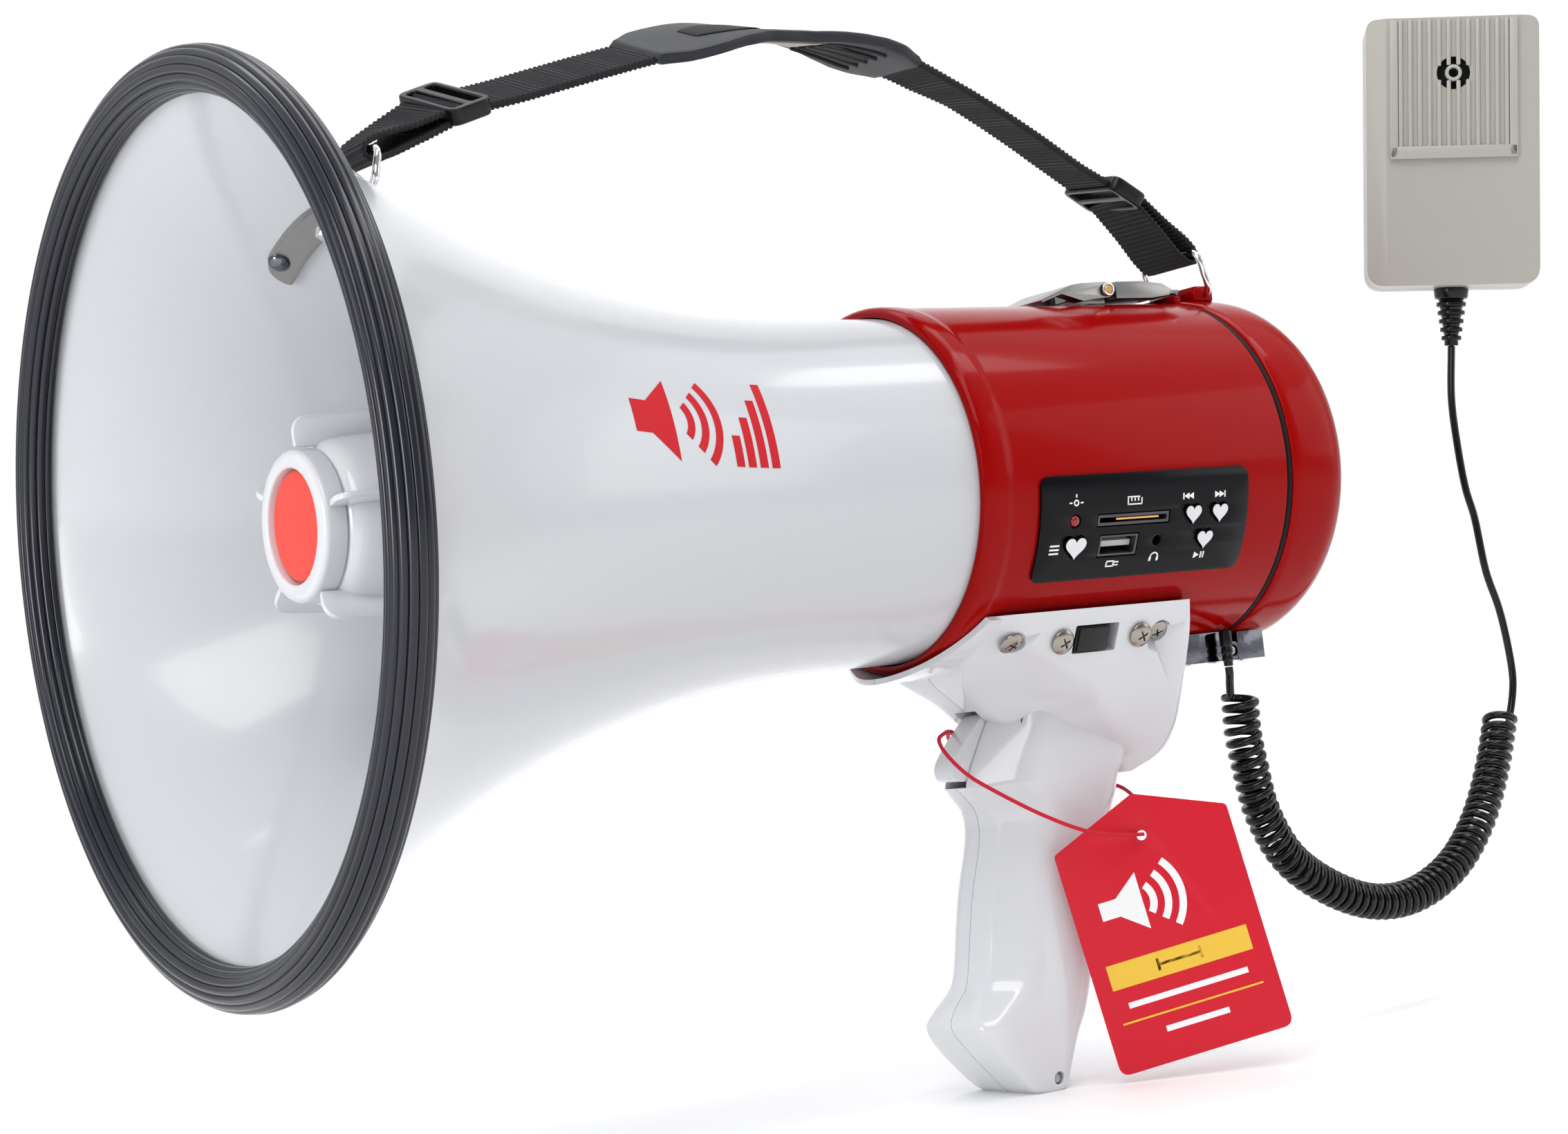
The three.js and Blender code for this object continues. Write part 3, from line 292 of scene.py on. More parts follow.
def done(obj, material, body=ROOT, nodes=(), angle=30, place=None):
    """Moves a finished piece from the drawing to the row frame, and hands it to its body."""
    if place is not None:
        obj.data.transform(place)
    obj.data.transform(TO_FRAME)
    obj.data.materials.clear()
    obj.data.materials.append(material)
    obj.data.shade_smooth()
    obj.data.set_sharp_from_angle(angle=math.radians(angle))
    if body is not None:
        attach(obj, body)
    if nodes:
        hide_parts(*nodes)
    return obj


def refined(node, material, body=ROOT, *, bevel, segments=2):
    """The CAD node's own shape with its flat facets merged and its edges rounded."""
    obj = linked(node + "_fine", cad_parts[node].data.copy())
    obj.data.transform(TO_FRAME.inverted())
    cleaned(obj.data, 1e-3, flat=1.5)
    bevelled(obj, bevel, segments)
    done(obj, material, body, (node,))


def kept(node, material):
    """A CAD node shown as it is, with its own finish."""
    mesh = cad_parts[node].data
    mesh.materials.clear()
    mesh.materials.append(material)


def softened(points, steps=4):
    """A closed outline: each point is (a, b) or (a, b, size of its rounding)."""
    out = []
    for i, p in enumerate(points):
        here = Vector(p[:2])
        if len(p) < 3 or not p[2]:
            out.append(tuple(here))
            continue
        before = Vector(points[i - 1][:2]) - here
        after = Vector(points[(i + 1) % len(points)][:2]) - here
        a = here + before.normalized() * min(p[2], before.length * 0.49)
        b = here + after.normalized() * min(p[2], after.length * 0.49)
        for k in range(steps + 1):
            t = k / steps
            out.append(tuple(a * (1 - t) ** 2 + here * 2 * t * (1 - t) + b * t * t))
    return out


def turned(name, profile, segments=160, sweep=(0, 360)):
    """A closed (x, radius) profile turned about the X axis."""
    full = sweep[1] - sweep[0] >= 360
    rings = segments if full else segments + 1
    n = len(profile)
    verts = []
    for k in range(rings):
        a = math.radians(sweep[0] + (sweep[1] - sweep[0]) * k / segments)
        verts += [(x, r * math.cos(a), r * math.sin(a)) for x, r in profile]
    faces = []
    for k in range(segments):
        nxt = (k + 1) % rings
        for i in range(n):
            j = (i + 1) % n
            if profile[i][1] == 0 and profile[j][1] == 0:
                continue
            faces.append((k * n + i, k * n + j, nxt * n + j, nxt * n + i))
    if not full:
        faces += [tuple(range(n)), tuple(range((rings - 1) * n, rings * n))]
    return new_object(name, verts, faces)


def solid_of_rings(name, rings):
    n = len(rings[0])
    verts = [p for ring in rings for p in ring]
    faces = []
    for i in range(len(rings) - 1):
        for k in range(n):
            a, b = i * n + k, i * n + (k + 1) % n
            faces.append((a, b, b + n, a + n))
    last = (len(rings) - 1) * n
    faces += [tuple(range(n)), tuple(range(last, last + n))]
    return new_object(name, verts, faces)


def prism(name, outline, low, high, basis=None):
    """An outline in (u, v), extruded along w from low to high; basis takes (u, v, w) to the drawing."""
    obj = solid_of_rings(name, [[(p[0], p[1], w) for p in outline] for w in (low, high)])
    if basis is not None:
        obj.data.transform(basis)
    return obj


ALONG_Y = Matrix(((1, 0, 0, 0), (0, 0, 1, 0), (0, 1, 0, 0), (0, 0, 0, 1)))
TURN_X_TO_Y = Matrix(((0, 1, 0, 0), (1, 0, 0, 0), (0, 0, 1, 0), (0, 0, 0, 1)))
CIRCLE_SIDES = 32


def rectangle(w, h, r=0.0):
    return [(-w / 2, -h / 2, r), (w / 2, -h / 2, r), (w / 2, h / 2, r), (-w / 2, h / 2, r)]


def circle(r):
    angles = [2 * math.pi * k / CIRCLE_SIDES for k in range(CIRCLE_SIDES)]
    return [(r * math.cos(a), r * math.sin(a)) for a in angles]


def block(name, low, high):
    (x0, y0, z0), (x1, y1, z1) = low, high
    return prism(name, [(x0, y0), (x1, y0), (x1, y1), (x0, y1)], z0, z1)


def towards(start, end):
    """Places a piece drawn along +X at start, pointing at end."""
    x = (Vector(end) - Vector(start)).normalized()
    side = Vector((0, 0, 1)) if abs(x.z) < 0.9 else Vector((0, 1, 0))
    y = side.cross(x).normalized()
    z = x.cross(y)
    return Matrix.Translation(start) @ basis_of(x, y, z)


def rod(name, start, end, r, segments=32):
    length = (Vector(end) - Vector(start)).length
    obj = turned(name, [(0, 0), (0, r), (length, r), (length, 0)], segments)
    obj.data.transform(towards(start, end))
    return obj


def smooth_curve(points, per_span):
    """The centripetal Catmull-Rom curve through the points, which the CAD's cords also follow."""
    pts = [Vector(p) for p in points]
    pts = [pts[0] * 2 - pts[1], *pts, pts[-1] * 2 - pts[-2]]
    out = []
    for i in range(1, len(pts) - 2):
        p0, p1, p2, p3 = pts[i - 1:i + 3]
        d0, d1, d2 = (max((b - a).length ** 0.5, 1e-4) for a, b in ((p0, p1), (p1, p2), (p2, p3)))
        t1 = ((p1 - p0) / d0 - (p2 - p0) / (d0 + d1) + (p2 - p1) / d1) * d1
        t2 = ((p2 - p1) / d1 - (p3 - p1) / (d1 + d2) + (p3 - p2) / d2) * d1
        for k in range(per_span):
            t = k / per_span
            out.append(p1 + t1 * t + (-3 * p1 + 3 * p2 - 2 * t1 - t2) * t * t
                       + (2 * p1 - 2 * p2 + t1 + t2) * t ** 3)
    out.append(pts[-2])
    return out


def evenly(points, count):
    """count + 1 points at equal distances along a line of points."""
    lengths = [0.0]
    for a, b in zip(points, points[1:]):
        lengths.append(lengths[-1] + (b - a).length)
    out, i = [], 0
    for k in range(count + 1):
        s = lengths[-1] * k / count
        while i < len(points) - 2 and lengths[i + 1] < s:
            i += 1
        span = max(lengths[i + 1] - lengths[i], 1e-9)
        out.append(points[i].lerp(points[i + 1], min(1, (s - lengths[i]) / span)))
    return out


def frames_along(points):
    """For each point, a unit normal and binormal that turn as little as possible."""
    tangents = []
    for i in range(len(points)):
        a, b = points[max(i - 1, 0)], points[min(i + 1, len(points) - 1)]
        tangents.append((b - a).normalized())
    normal = tangents[0].orthogonal().normalized()
    out = []
    for t in tangents:
        normal = (normal - t * normal.dot(t)).normalized()
        out.append((normal.copy(), t.cross(normal)))
    return out


def tube(name, points, radius, sides=12):
    rings = []
    for p, (n, b) in zip(points, frames_along(points)):
        angles = [2 * math.pi * k / sides for k in range(sides)]
        rings.append([p + n * radius * math.cos(a) + b * radius * math.sin(a) for a in angles])
    return solid_of_rings(name, rings)


# ---------------------------------------------------------------- microphone cord
GLAND = (300, -20.9)
COIL_ROUTE = [
    (306.4, -17, -66.3), (306.9, -16, -77.4), (308.9, -15, -86.4), (313.4, -13, -100.5),
    (323.4, -11, -114.9), (340.8, -9, -126.1), (360.2, -7, -132.5), (379.2, -5, -132.5),
    (398.5, -3, -125.7), (413.2, -1, -113.9), (424.5, 1, -98.5), (433.1, 3, -82.5)]
LEAD_LOWER = [(*GLAND, -57.9), (300.2, -20.7, -59.8), (301, -19.4, -62.4), (301.8, -18, -64.9)]
LEAD_UPPER = [
    (436.9, 3.5, -81.6), (440, 3.5, -77), (441.3, 3.5, -70.8), (440.9, 3.6, -60.6), (439.3, 4, -48.4),
    (436.1, 4.6, -36.4), (434.6, 5.4, -18.5), (433.1, 6.2, -9.5), (432.7, 7.2, 5.3), (433.8, 8.4, 19.8)]


def turned_at(place, turn):
    """A place, with a turn about X, Y and Z in the order Z, X, Y."""
    x, y, z = (math.radians(v) for v in turn)
    return (Matrix.Translation(place) @ Matrix.Rotation(z, 4, "Z") @ Matrix.Rotation(x, 4, "X")
            @ Matrix.Rotation(y, 4, "Y"))


MIC_AT = turned_at(MIC_PLACE, MIC_TURN)
RELIEF_LENGTH = 18.9


def cord_line():
    """The centre line of the whole cord: a straight lead, the coil's helix and the long lead."""
    per_turn = 16
    spine = evenly(smooth_curve(COIL_ROUTE, 24), COIL_TURNS * per_turn)
    helix_r = COIL_R - WIRE_R
    start = Vector(LEAD_LOWER[-1]) - spine[0]
    coil = []
    for i, (p, (n, b)) in enumerate(zip(spine, frames_along(spine))):
        if i == 0:
            phase = math.atan2(start.dot(b), start.dot(n))
        a = phase + 2 * math.pi * i / per_turn
        coil.append(p + n * helix_r * math.cos(a) + b * helix_r * math.sin(a))
    end = MIC_AT @ Vector((0, 0, -MIC_H / 2 - RELIEF_LENGTH))
    lower = smooth_curve([*LEAD_LOWER[:-1], coil[0]], 5)
    upper = smooth_curve([coil[-1], *LEAD_UPPER[1:], end], 6)
    return [*lower[:-1], *coil, *upper[1:]]


def cord_curve(name, points, radius, material):
    data = bpy.data.curves.new(name, "CURVE")
    data.dimensions = "3D"
    data.bevel_depth = radius * MM
    data.bevel_resolution = 3
    data.use_fill_caps = True
    spline = data.splines.new("POLY")
    spline.points.add(len(points) - 1)
    for target, p in zip(spline.points, points):
        target.co = (*(TO_FRAME @ p), 1)
    spline.use_smooth = True
    data.materials.append(material)
    obj = linked(name, data)
    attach(obj, ROOT)
    return obj


def make_mic_cord():
    line = cord_line()
    obj = cord_curve("mic_cord", line, WIRE_R, CORD_BLACK)
    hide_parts("curly_cord", "cord_lead_lower", "cord_lead_upper")


# ---------------------------------------------------------------- bell and bumper
FLARE, FLARE_END_X, FLARE_POWER = 60.4, 175, 2.12
LIP, LIP_FADE = 3.5, 12
BELL_X = (1.1, 212)
PRINT_ANGLE = 164
PRINT_X = 109.5
BRACKET_X = 43.3


def bell_radius(x):
    flare = FLARE * (1 - x / FLARE_END_X) ** FLARE_POWER if x < FLARE_END_X else 0
    return NECK_R + flare + LIP * math.exp(-x / LIP_FADE)


def bell_offset(x, depth):
    """(x, radius) of the point that is `depth` inwards from the bell's outside at x."""
    slope = (bell_radius(x + 0.01) - bell_radius(x - 0.01)) / 0.02
    size = math.hypot(1, slope)
    return x + depth * slope / size, bell_radius(x) - depth / size


def make_bell():
    """Its rings are closer together towards the mouth, where it curves more."""
    steps, crowding = 64, 1.35
    xs = [BELL_X[0] + (BELL_X[1] - BELL_X[0]) * (k / steps) ** crowding for k in range(steps + 1)]
    outer = [bell_offset(x, 0) for x in xs]
    inner = [bell_offset(x, BELL_WALL) for x in reversed(xs)]
    # The bell's finish is the darker copy of the white plastic, painted shade.
    done(turned("bell", outer + inner, 224), BELL_WHITE_PAINTED_SHADE, nodes=["horn_bell"])


def make_bumper():
    """A ring with ridges round its section, slit where it grips the bell's rim."""
    ridges, ridge_height, steps_per_ridge = 13, 0.62, 10
    half_slit = math.asin((BELL_WALL / 2 + GAP + 0.5) / BUMPER_R)
    steps = ridges * steps_per_ridge
    profile = []
    for k in range(steps + 1):
        t = k / steps
        a = -math.pi / 4 + half_slit + (2 * math.pi - 2 * half_slit) * t
        r = BUMPER_R - ridge_height + ridge_height * abs(math.sin(math.pi * ridges * t)) ** 0.6
        profile.append((r * math.cos(a), MOUTH_R + r * math.sin(a)))
    profile.append((-1.8, MOUTH_R - 0.6))
    done(turned("bumper", profile, 200), RUBBER, nodes=["bumper_ring"], angle=40)


def on_bell(x, angle, out):
    r = bell_radius(x) + out
    return x, r * math.cos(angle), r * math.sin(angle)


def bell_ribbon(name, line, widths):
    """A thin printed stroke on the bell: each point of the line is (x, millimetres round the bell)."""
    cols = 10
    turn = math.radians(PRINT_ANGLE)
    rings = []
    for i, (x, s) in enumerate(line):
        a, b = line[max(i - 1, 0)], line[min(i + 1, len(line) - 1)]
        across = Vector((-(b[1] - a[1]), b[0] - a[0])).normalized() * widths[i] / 2
        spots = [(x + across.x * (2 * k / cols - 1), s + across.y * (2 * k / cols - 1))
                 for k in range(cols + 1)]
        low, high = ([on_bell(px, turn - ps / bell_radius(px), out) for px, ps in spots]
                     for out in (0.03, 0.12))
        rings.append(low + high[::-1])
    return solid_of_rings(name, rings)


def make_bell_print():
    """A plain sign for sound: a loudspeaker, three waves and four level bars."""
    x0 = PRINT_X
    back_width, wave_width, bar_width, bar_pitch = 8.5, 2.3, 2.6, 3.9
    back = [(x0 - 22.5 + 0.5 * k, 0) for k in range(12)]
    cone = [(x0 - 17 + 0.5 * k, 0) for k in range(17)]
    pieces = [bell_ribbon("sign_back", back, [back_width] * len(back)),
              bell_ribbon("sign_cone", cone, [back_width + 0.8 * k for k in range(len(cone))])]
    for radius in (6, 10.5, 15):
        arc = [(x0 - 9 + radius * math.cos(a), radius * math.sin(a))
               for a in [math.radians(4 * k - 44) for k in range(23)]]
        pieces.append(bell_ribbon("sign_wave", arc, [wave_width] * len(arc)))
    for i, height in enumerate((8, 13, 18, 23)):
        upright = [(x0 + 11 + bar_pitch * i, -11 + height * k / 12) for k in range(13)]
        pieces.append(bell_ribbon("sign_bar", upright, [bar_width] * len(upright)))
    done(joined(*pieces), PRINT_RED).name = "bell_sign"


def make_strap_bracket():
    """The bent plate under the bell's top spreads the strap's pull to two more rivets."""
    refined("strap_bracket_inner", CHROME, bevel=0.25)
    near, far, plate_width, plate_length = BELL_WALL + 0.3, BELL_WALL + 1.7, 8, 72
    xs = [38.4 + 1.1 * k for k in range(10)]
    depths = [bell_offset(x, near) for x in xs] + [bell_offset(x, far) for x in reversed(xs)]
    plate = turned("bracket_plate", depths, 96, sweep=(60, 120))
    outline = softened(rectangle(plate_width, plate_length, 3.95), 8)
    combine(plate, [prism("outline", outline, 40, 100, Matrix.Translation((BRACKET_X, 0, 0)))], "INTERSECT")
    done(bevelled(plate, 0.3, 2, 50), SATIN)
    slope = (bell_radius(BRACKET_X) - bell_radius(BRACKET_X - 0.1)) / 0.1
    profile = softened([(0, 0), (0, 2.9, 0.2), (0.9, 2.8, 0.6), (1.9, 1.5, 0.8), (2.1, 0)])
    for name, angle in (("bracket_rivet_far", 66.5), ("bracket_rivet_near", 113.5)):
        a = math.radians(angle)
        inward = Vector((slope, -math.cos(a), -math.sin(a))).normalized()
        x, r = bell_offset(BRACKET_X, BELL_WALL + 1.5)
        seat = Vector((x, r * math.cos(a), r * math.sin(a)))
        head = turned(name, profile, 40)
        done(head, DARK_CHROME, place=towards(seat, seat + inward))
    refined("strap_bracket_outer", CHROME, bevel=0.3)


# ---------------------------------------------------------------- reflector
FINS = 5
FIRST_FIN = -64


def make_reflector():
    cup = turned("reflector_cup_fine", softened([
        (29, 0), (29, 17.8, 2), (31.8, 20.6, 3), (36, 21.6, 3), (50, 22.6, 6), (70, 25, 8), (98, 30),
        (98, 28.2), (70, 23.2, 8), (50, 20.8, 6), (38, 19.8, 2), (33, 17.5, 2), (31, 13.5, 1),
        (31, 0)]), 128)
    collar = turned("collar", softened([
        (26.6, 0), (26.6, 14.2, 0.5), (23.2, 14.2, 0.8), (23.2, 17.4, 0.8), (24.2, 18.7, 0.8),
        (29.4, 18.9, 0.5), (29.4, 0)]), 128)
    outline = softened([
        (24.8, 19.3), (24.2, 24, 2), (26, 26.6, 1.5), (30, 27.2, 1.5), (60, 29, 4), (96, 33, 1.5),
        (97.5, 29.2), (60, 22.7), (36, 20.6), (31.8, 19.3)])
    fins = []
    for i in range(FINS):
        fin = bevelled(prism(f"fin_{i}", outline, -0.8, 0.8, ALONG_Y), 0.35)
        fin.data.transform(Matrix.Rotation(math.radians(FIRST_FIN + 360 / FINS * i), 4, "X"))
        fins.append(fin)
    done(joined(cup, collar, *fins), WHITE, nodes=["reflector_cup"])
    disc = turned("reflector_disc_fine", softened([
        (24.3, 0), (24.4, 12.9, 1.2), (25.4, 13.8, 0.5), (26.3, 13.7), (26.3, 0)]), 96)
    done(disc, DISC_RED, nodes=["reflector_disc"])
    throat = turned("throat_fine", [
        (40, 12.5), (120, 10.2), (205, 9.5), (209, 12), (212.5, 20), (212.5, 46.8), (214.6, 46.8),
        (214.6, 7.9), (205, 7.9), (120, 8.6), (40, 10.9)], 96)
    done(throat, WHITE, nodes=["throat_tube"])


# ---------------------------------------------------------------- body, gasket and cap
def make_body():
    profile = softened([
        (197, 47.9), (197, 49.2, 0.8), (198.4, 50.5, 1), (200.5, 50.75, 1), (204.4, 50.75, 1),
        (206.2, BODY_R, 1), (304, BODY_R, 0.5), (304, 47.9)])
    shell = turned("body_shell_fine", profile, 224)
    window = turned("window", [(221, 40), (221, 60), (282, 60), (282, 40)], 12, sweep=(187, 213))
    done(cut(shell, window), RED, nodes=["body_shell"])
    gasket = turned("gasket_fine", softened([
        (304.3, 48.2), (304.3, 50.1, 0.5), (306, 50.1, 0.5), (306, 48.2)]), 192)
    done(gasket, SHADOW_BLACK, nodes=["gasket_ring"])


def make_cap():
    profile = softened([
        (333, 0), (332.7, 30, 6), (331.6, 41, 6), (328.8, 46.6, 4), (323.5, 50, 4), (318, CAP_R, 4),
        (308, CAP_R, 1.5), (306.3, 50.2, 0.6), (306.3, 47.2), (303.8, 47.2), (303.8, 45.2), (320, 45.2, 3),
        (326.5, 41.5, 3), (329.6, 30, 3), (330, 0)], 5)
    shell = turned("rear_cap_fine", profile, 192)
    seat = bevelled(block("seat", (313.4, -10, 49.5), (320.6, 10, 54.6)), 1.2, 3)
    keeper = bevelled(block("keeper", (306.6, -8, 49.5), (309.4, 8, 52)), 0.4)
    done(joined(shell, seat, keeper), RED, "rear_cap", ["rear_cap"])


def embossed_leaf(node, body, x0, x1):
    """A hinge leaf with raised rivets on its underside."""
    refined(node, DARK_CHROME, body, bevel=0.5, segments=3)
    for i, y in enumerate((-12.5, 0, 12.5)):
        x = (x0 + x1) / 2
        head = turned(f"{node}_rivet_{i}", softened([
            (0, 0), (0, 2.3, 0.2), (0.5, 2.1, 0.7), (0.9, 1.2, 0.6), (0.95, 0)]), 24)
        head.data.transform(towards((x, y, -55.8), (x, y, -60)))
        done(head, CHROME, body)


def make_hinge():
    embossed_leaf("hinge_leaf_body", ROOT, 285, 296)
    embossed_leaf("hinge_leaf_cap", "rear_cap", 310, 316)
    refined("hinge_pin", STEEL, bevel=0.3)
    obj = turned("cord_gland_fine", softened([
        (0, 0), (0, 1.8, 0.3), (4.4, 1.8, 0.3), (4.7, 1.4, 0.2), (5.4, 1.7, 0.3), (6.6, 1.7, 0.3),
        (6.9, 1.35, 0.2), (7.5, 1.6, 0.3), (8.7, 1.6, 0.3), (9, 1.35, 0.2), (10.3, 1.35, 0.3),
        (10.3, 0)]), 32)
    obj.data.transform(towards((*GLAND, -47.3), (*GLAND, -57.6)))
    done(obj, CORD_BLACK, nodes=["cord_gland"])


# ---------------------------------------------------------------- latch
def make_latch():
    refined("latch_base", SATIN, bevel=0.25)
    refined("latch_lever", SATIN, "latch_lever", bevel=0.3)
    refined("latch_hook", SATIN, "latch_hook", bevel=0.5, segments=3)
    at_pin = Matrix.Translation((LATCH_PIN[0], 0, LATCH_PIN[1])) @ TURN_X_TO_Y
    pin = turned("latch_pin_fine", [
        (-12.1, 0), (-12.1, 1.1), (-11.9, 1.3), (11.9, 1.3), (12.1, 1.1), (12.1, 0)], 32)
    done(pin, BRASS, nodes=["latch_pin"], place=at_pin)
    for side, end in ((-1, "near"), (1, "far")):
        washer = turned(f"latch_washer_{end}", softened([
            (11.3, 1.35), (11.3, 2.1, 0.2), (12.0, 2.1, 0.3), (12.2, 1.35, 0.2)]), 32)
        done(washer, CHROME, place=at_pin @ Matrix.Scale(side, 4, (1, 0, 0)))


# ---------------------------------------------------------------- control panel
def up_the_panel(angle):
    a = math.radians(angle)
    return Vector((0, math.sin(a), -math.cos(a)))


def outward(angle):
    a = math.radians(angle)
    return Vector((0, math.cos(a), math.sin(a)))


def panel_basis(x, angle):
    """(u, v, w) is along the body, up the panel and out from the axis."""
    u, v, w = Vector((1, 0, 0)), up_the_panel(angle), outward(angle)
    return Matrix.Translation((x, 0, 0)) @ basis_of(u, v, w)


def on_panel(name, outline, x, angle, r0, r1):
    return prism(name, outline, r0, r1, panel_basis(x, angle))


def heart(w, h):
    """A heart's outline; the numbers in it are the well-known heart curve, scaled to a unit box."""
    points = []
    for k in range(40):
        t = 2 * math.pi * k / 40
        u = 16 * math.sin(t) ** 3 / 32
        v = (13 * math.cos(t) - 5 * math.cos(2 * t) - 2 * math.cos(3 * t) - math.cos(4 * t) + 2.5) / 29
        points.append((u * w, v * h))
    return points


# Where things are on the panel: x, the angle round the body, and then their width and height or radius.
BUTTONS = {
    "mode_button": (227.2, 205.5, 7.0, 6.2),
    "previous_button": (267.8, 197.4, 5.5, 5.2),
    "next_button": (277.4, 197.4, 5.5, 5.2),
    "play_button": (273, 205.5, 5.5, 5.2),
}
BUTTON_R = (48, 52.1)
TURNED_UP = Matrix(((0, 1, 0, 0), (0, 0, 1, 0), (1, 0, 0, 0), (0, 0, 0, 1)))
LED = (226.8, 197.2, 1.6)
CARD = (247.2, 197.5, 25, 3)
USB = (242.8, 205.6, 13.2, 5.9)
AUX = (256.5, 205, 1.9)


def make_panel():
    """Drawn flat as (x, v), cut, and bent round the body."""
    corner, heart_gap, socket_gap = 3.2, 0.9, 0.6
    width = PANEL_X[1] - PANEL_X[0]
    middle_x = sum(PANEL_X) / 2
    middle_r = sum(PANEL_R) / 2
    height = math.radians(PANEL_ANGLES[1] - PANEL_ANGLES[0]) * middle_r
    plate = prism("control_panel_fine", softened(rectangle(width, height, corner), 6), *PANEL_R)

    def hole(outline, x, angle):
        v = -math.radians(angle - PANEL_MIDDLE) * middle_r
        moved = [(p[0] + x - middle_x, p[1] + v) for p in outline]
        return prism("hole", moved, PANEL_R[0] - 1, PANEL_R[1] + 1)

    holes = [hole(heart(w + heart_gap, h + heart_gap), x, angle) for x, angle, w, h in BUTTONS.values()]
    holes.append(hole(circle(LED[2] + GAP), *LED[:2]))
    for x, angle, w, h in (CARD, USB):
        holes.append(hole(rectangle(w + socket_gap, h + socket_gap), x, angle))
    holes.append(hole(circle(AUX[2]), *AUX[:2]))
    bevelled(cut(plate, *holes), 0.4, 2, 50)
    sliced = bmesh.new()
    sliced.from_mesh(plate.data)
    for k in range(-PANEL_SLICES, PANEL_SLICES + 1):
        everything = sliced.verts[:] + sliced.edges[:] + sliced.faces[:]
        bmesh.ops.bisect_plane(sliced, geom=everything, plane_co=(0, k * SLICE_MM, 0), plane_no=(0, 1, 0))
    for vert in sliced.verts:
        u, v, r = vert.co
        a = math.radians(PANEL_MIDDLE) - v / middle_r
        vert.co = (middle_x + u, r * math.cos(a), r * math.sin(a))
    bmesh.ops.recalc_face_normals(sliced, faces=sliced.faces)
    sliced.to_mesh(plate.data)
    sliced.free()
    done(plate, PANEL_BLACK, nodes=["control_panel"], angle=25)


def make_buttons():
    for name, (x, angle, w, h) in BUTTONS.items():
        base = on_panel(name + "_fine", heart(w, h), x, angle, *BUTTON_R)
        done(bevelled(base, 1.1, 5, 60), HEART_CHROME, name, [name], angle=40)


def make_sockets():
    lens = turned("led_lens_fine", softened([
        (46.5, 0), (46.5, 1.6), (50.9, 1.6, 0.5), (51.6, 0.9, 0.5), (51.7, 0)]), 32)
    done(lens, LENS_RED, nodes=["led_lens"], place=panel_basis(*LED[:2]) @ TURNED_UP)
    refined("card_socket", SOCKET_SHELL_PAINTED_SHADE, bevel=0.12)
    refined("usb_socket", SOCKET_SHELL_PAINTED_SHADE, bevel=0.15)
    card = on_panel("card_contact", rectangle(15, 0.5), CARD[0] + 2, CARD[1], 41, 50.2)
    done(card, BRASS)
    tongue = on_panel("usb_tongue", rectangle(11.2, 1.7), USB[0], USB[1], 41, 49.3)
    done(bevelled(tongue, 0.15), SOCKET_WHITE)
    barrel = turned("aux_barrel", softened([
        (40, 1.5), (40, 1.85), (51.0, 1.85, 0.1), (51.0, 1.55, 0.1)]), 32)
    done(barrel, BLACK, place=panel_basis(*AUX[:2]) @ TURNED_UP)


def triangle(u, v, size, way=1):
    h = size / 2
    return [(u - way * h, v - h), (u + way * h, v), (u - way * h, v + h)]


def bar(u, v, w, h):
    return [(u + p, v + q) for p, q, _ in rectangle(w, h)]


def ring_marks(r, width, n=28, arc=360, start=0):
    """The quads of a thin ring or arc."""
    quads = []
    for k in range(n):
        a, b = (math.radians(start + arc * i / n) for i in (k, k + 1))
        quads.append([(r * math.cos(a), r * math.sin(a)), (r * math.cos(b), r * math.sin(b)),
                      ((r - width) * math.cos(b), (r - width) * math.sin(b)),
                      ((r - width) * math.cos(a), (r - width) * math.sin(a))])
    return quads


def make_panel_signs():
    """Plain signs in place of words."""
    signs = {
        "led_sign": (LED[0], 191.6, [
            *ring_marks(0.9, 0.4), bar(-1.9, 0, 0.9, 0.4), bar(1.9, 0, 0.9, 0.4), bar(0, 1.9, 0.4, 0.9)]),
        "card_sign": (CARD[0], 191.9, [
            bar(-2.4, 0, 0.35, 2.2), bar(2.4, -0.2, 0.35, 1.8), bar(0, -1.0, 5, 0.35),
            bar(-0.4, 1.0, 4.3, 0.35), *[bar(u, 0.3, 0.4, 0.9) for u in (-1.2, 0, 1.2)]]),
        "mode_sign": (220.6, 205.7, [bar(0, v, 3.2, 0.5) for v in (1.1, 0, -1.1)]),
        "usb_sign": (USB[0] - 0.4, 212.4, [
            bar(-1.2, 0, 2.6, 0.4), bar(-1.2, 1.5, 2.6, 0.4), bar(-2.4, 0.75, 0.4, 1.6),
            bar(0, 0.75, 0.4, 1.9), bar(1.0, 1.2, 1.5, 0.4), bar(1.0, 0.3, 1.5, 0.4)]),
        "aux_sign": (AUX[0], 210.4, [
            *ring_marks(1.5, 0.4, arc=180), bar(-1.3, -0.5, 0.7, 1.2), bar(1.3, -0.5, 0.7, 1.2)]),
        "previous_sign": (266.6, 191.6, [
            bar(-2.0, 0, 0.4, 1.8), triangle(-0.9, 0, 1.8, -1), triangle(0.7, 0, 1.8, -1)]),
        "next_sign": (277.6, 191.6, [bar(2.0, 0, 0.4, 1.8), triangle(0.9, 0, 1.8), triangle(-0.7, 0, 1.8)]),
        "play_sign": (273, 210.8, [triangle(-1.0, 0, 1.9), bar(0.6, 0, 0.45, 1.9), bar(1.5, 0, 0.45, 1.9)]),
    }
    for name, (x, angle, marks) in signs.items():
        pieces = [on_panel(name, m, x, angle, PANEL_R[1] - 0.02, PANEL_R[1] + 0.1) for m in marks]
        done(joined(*pieces), PRINT_WHITE)


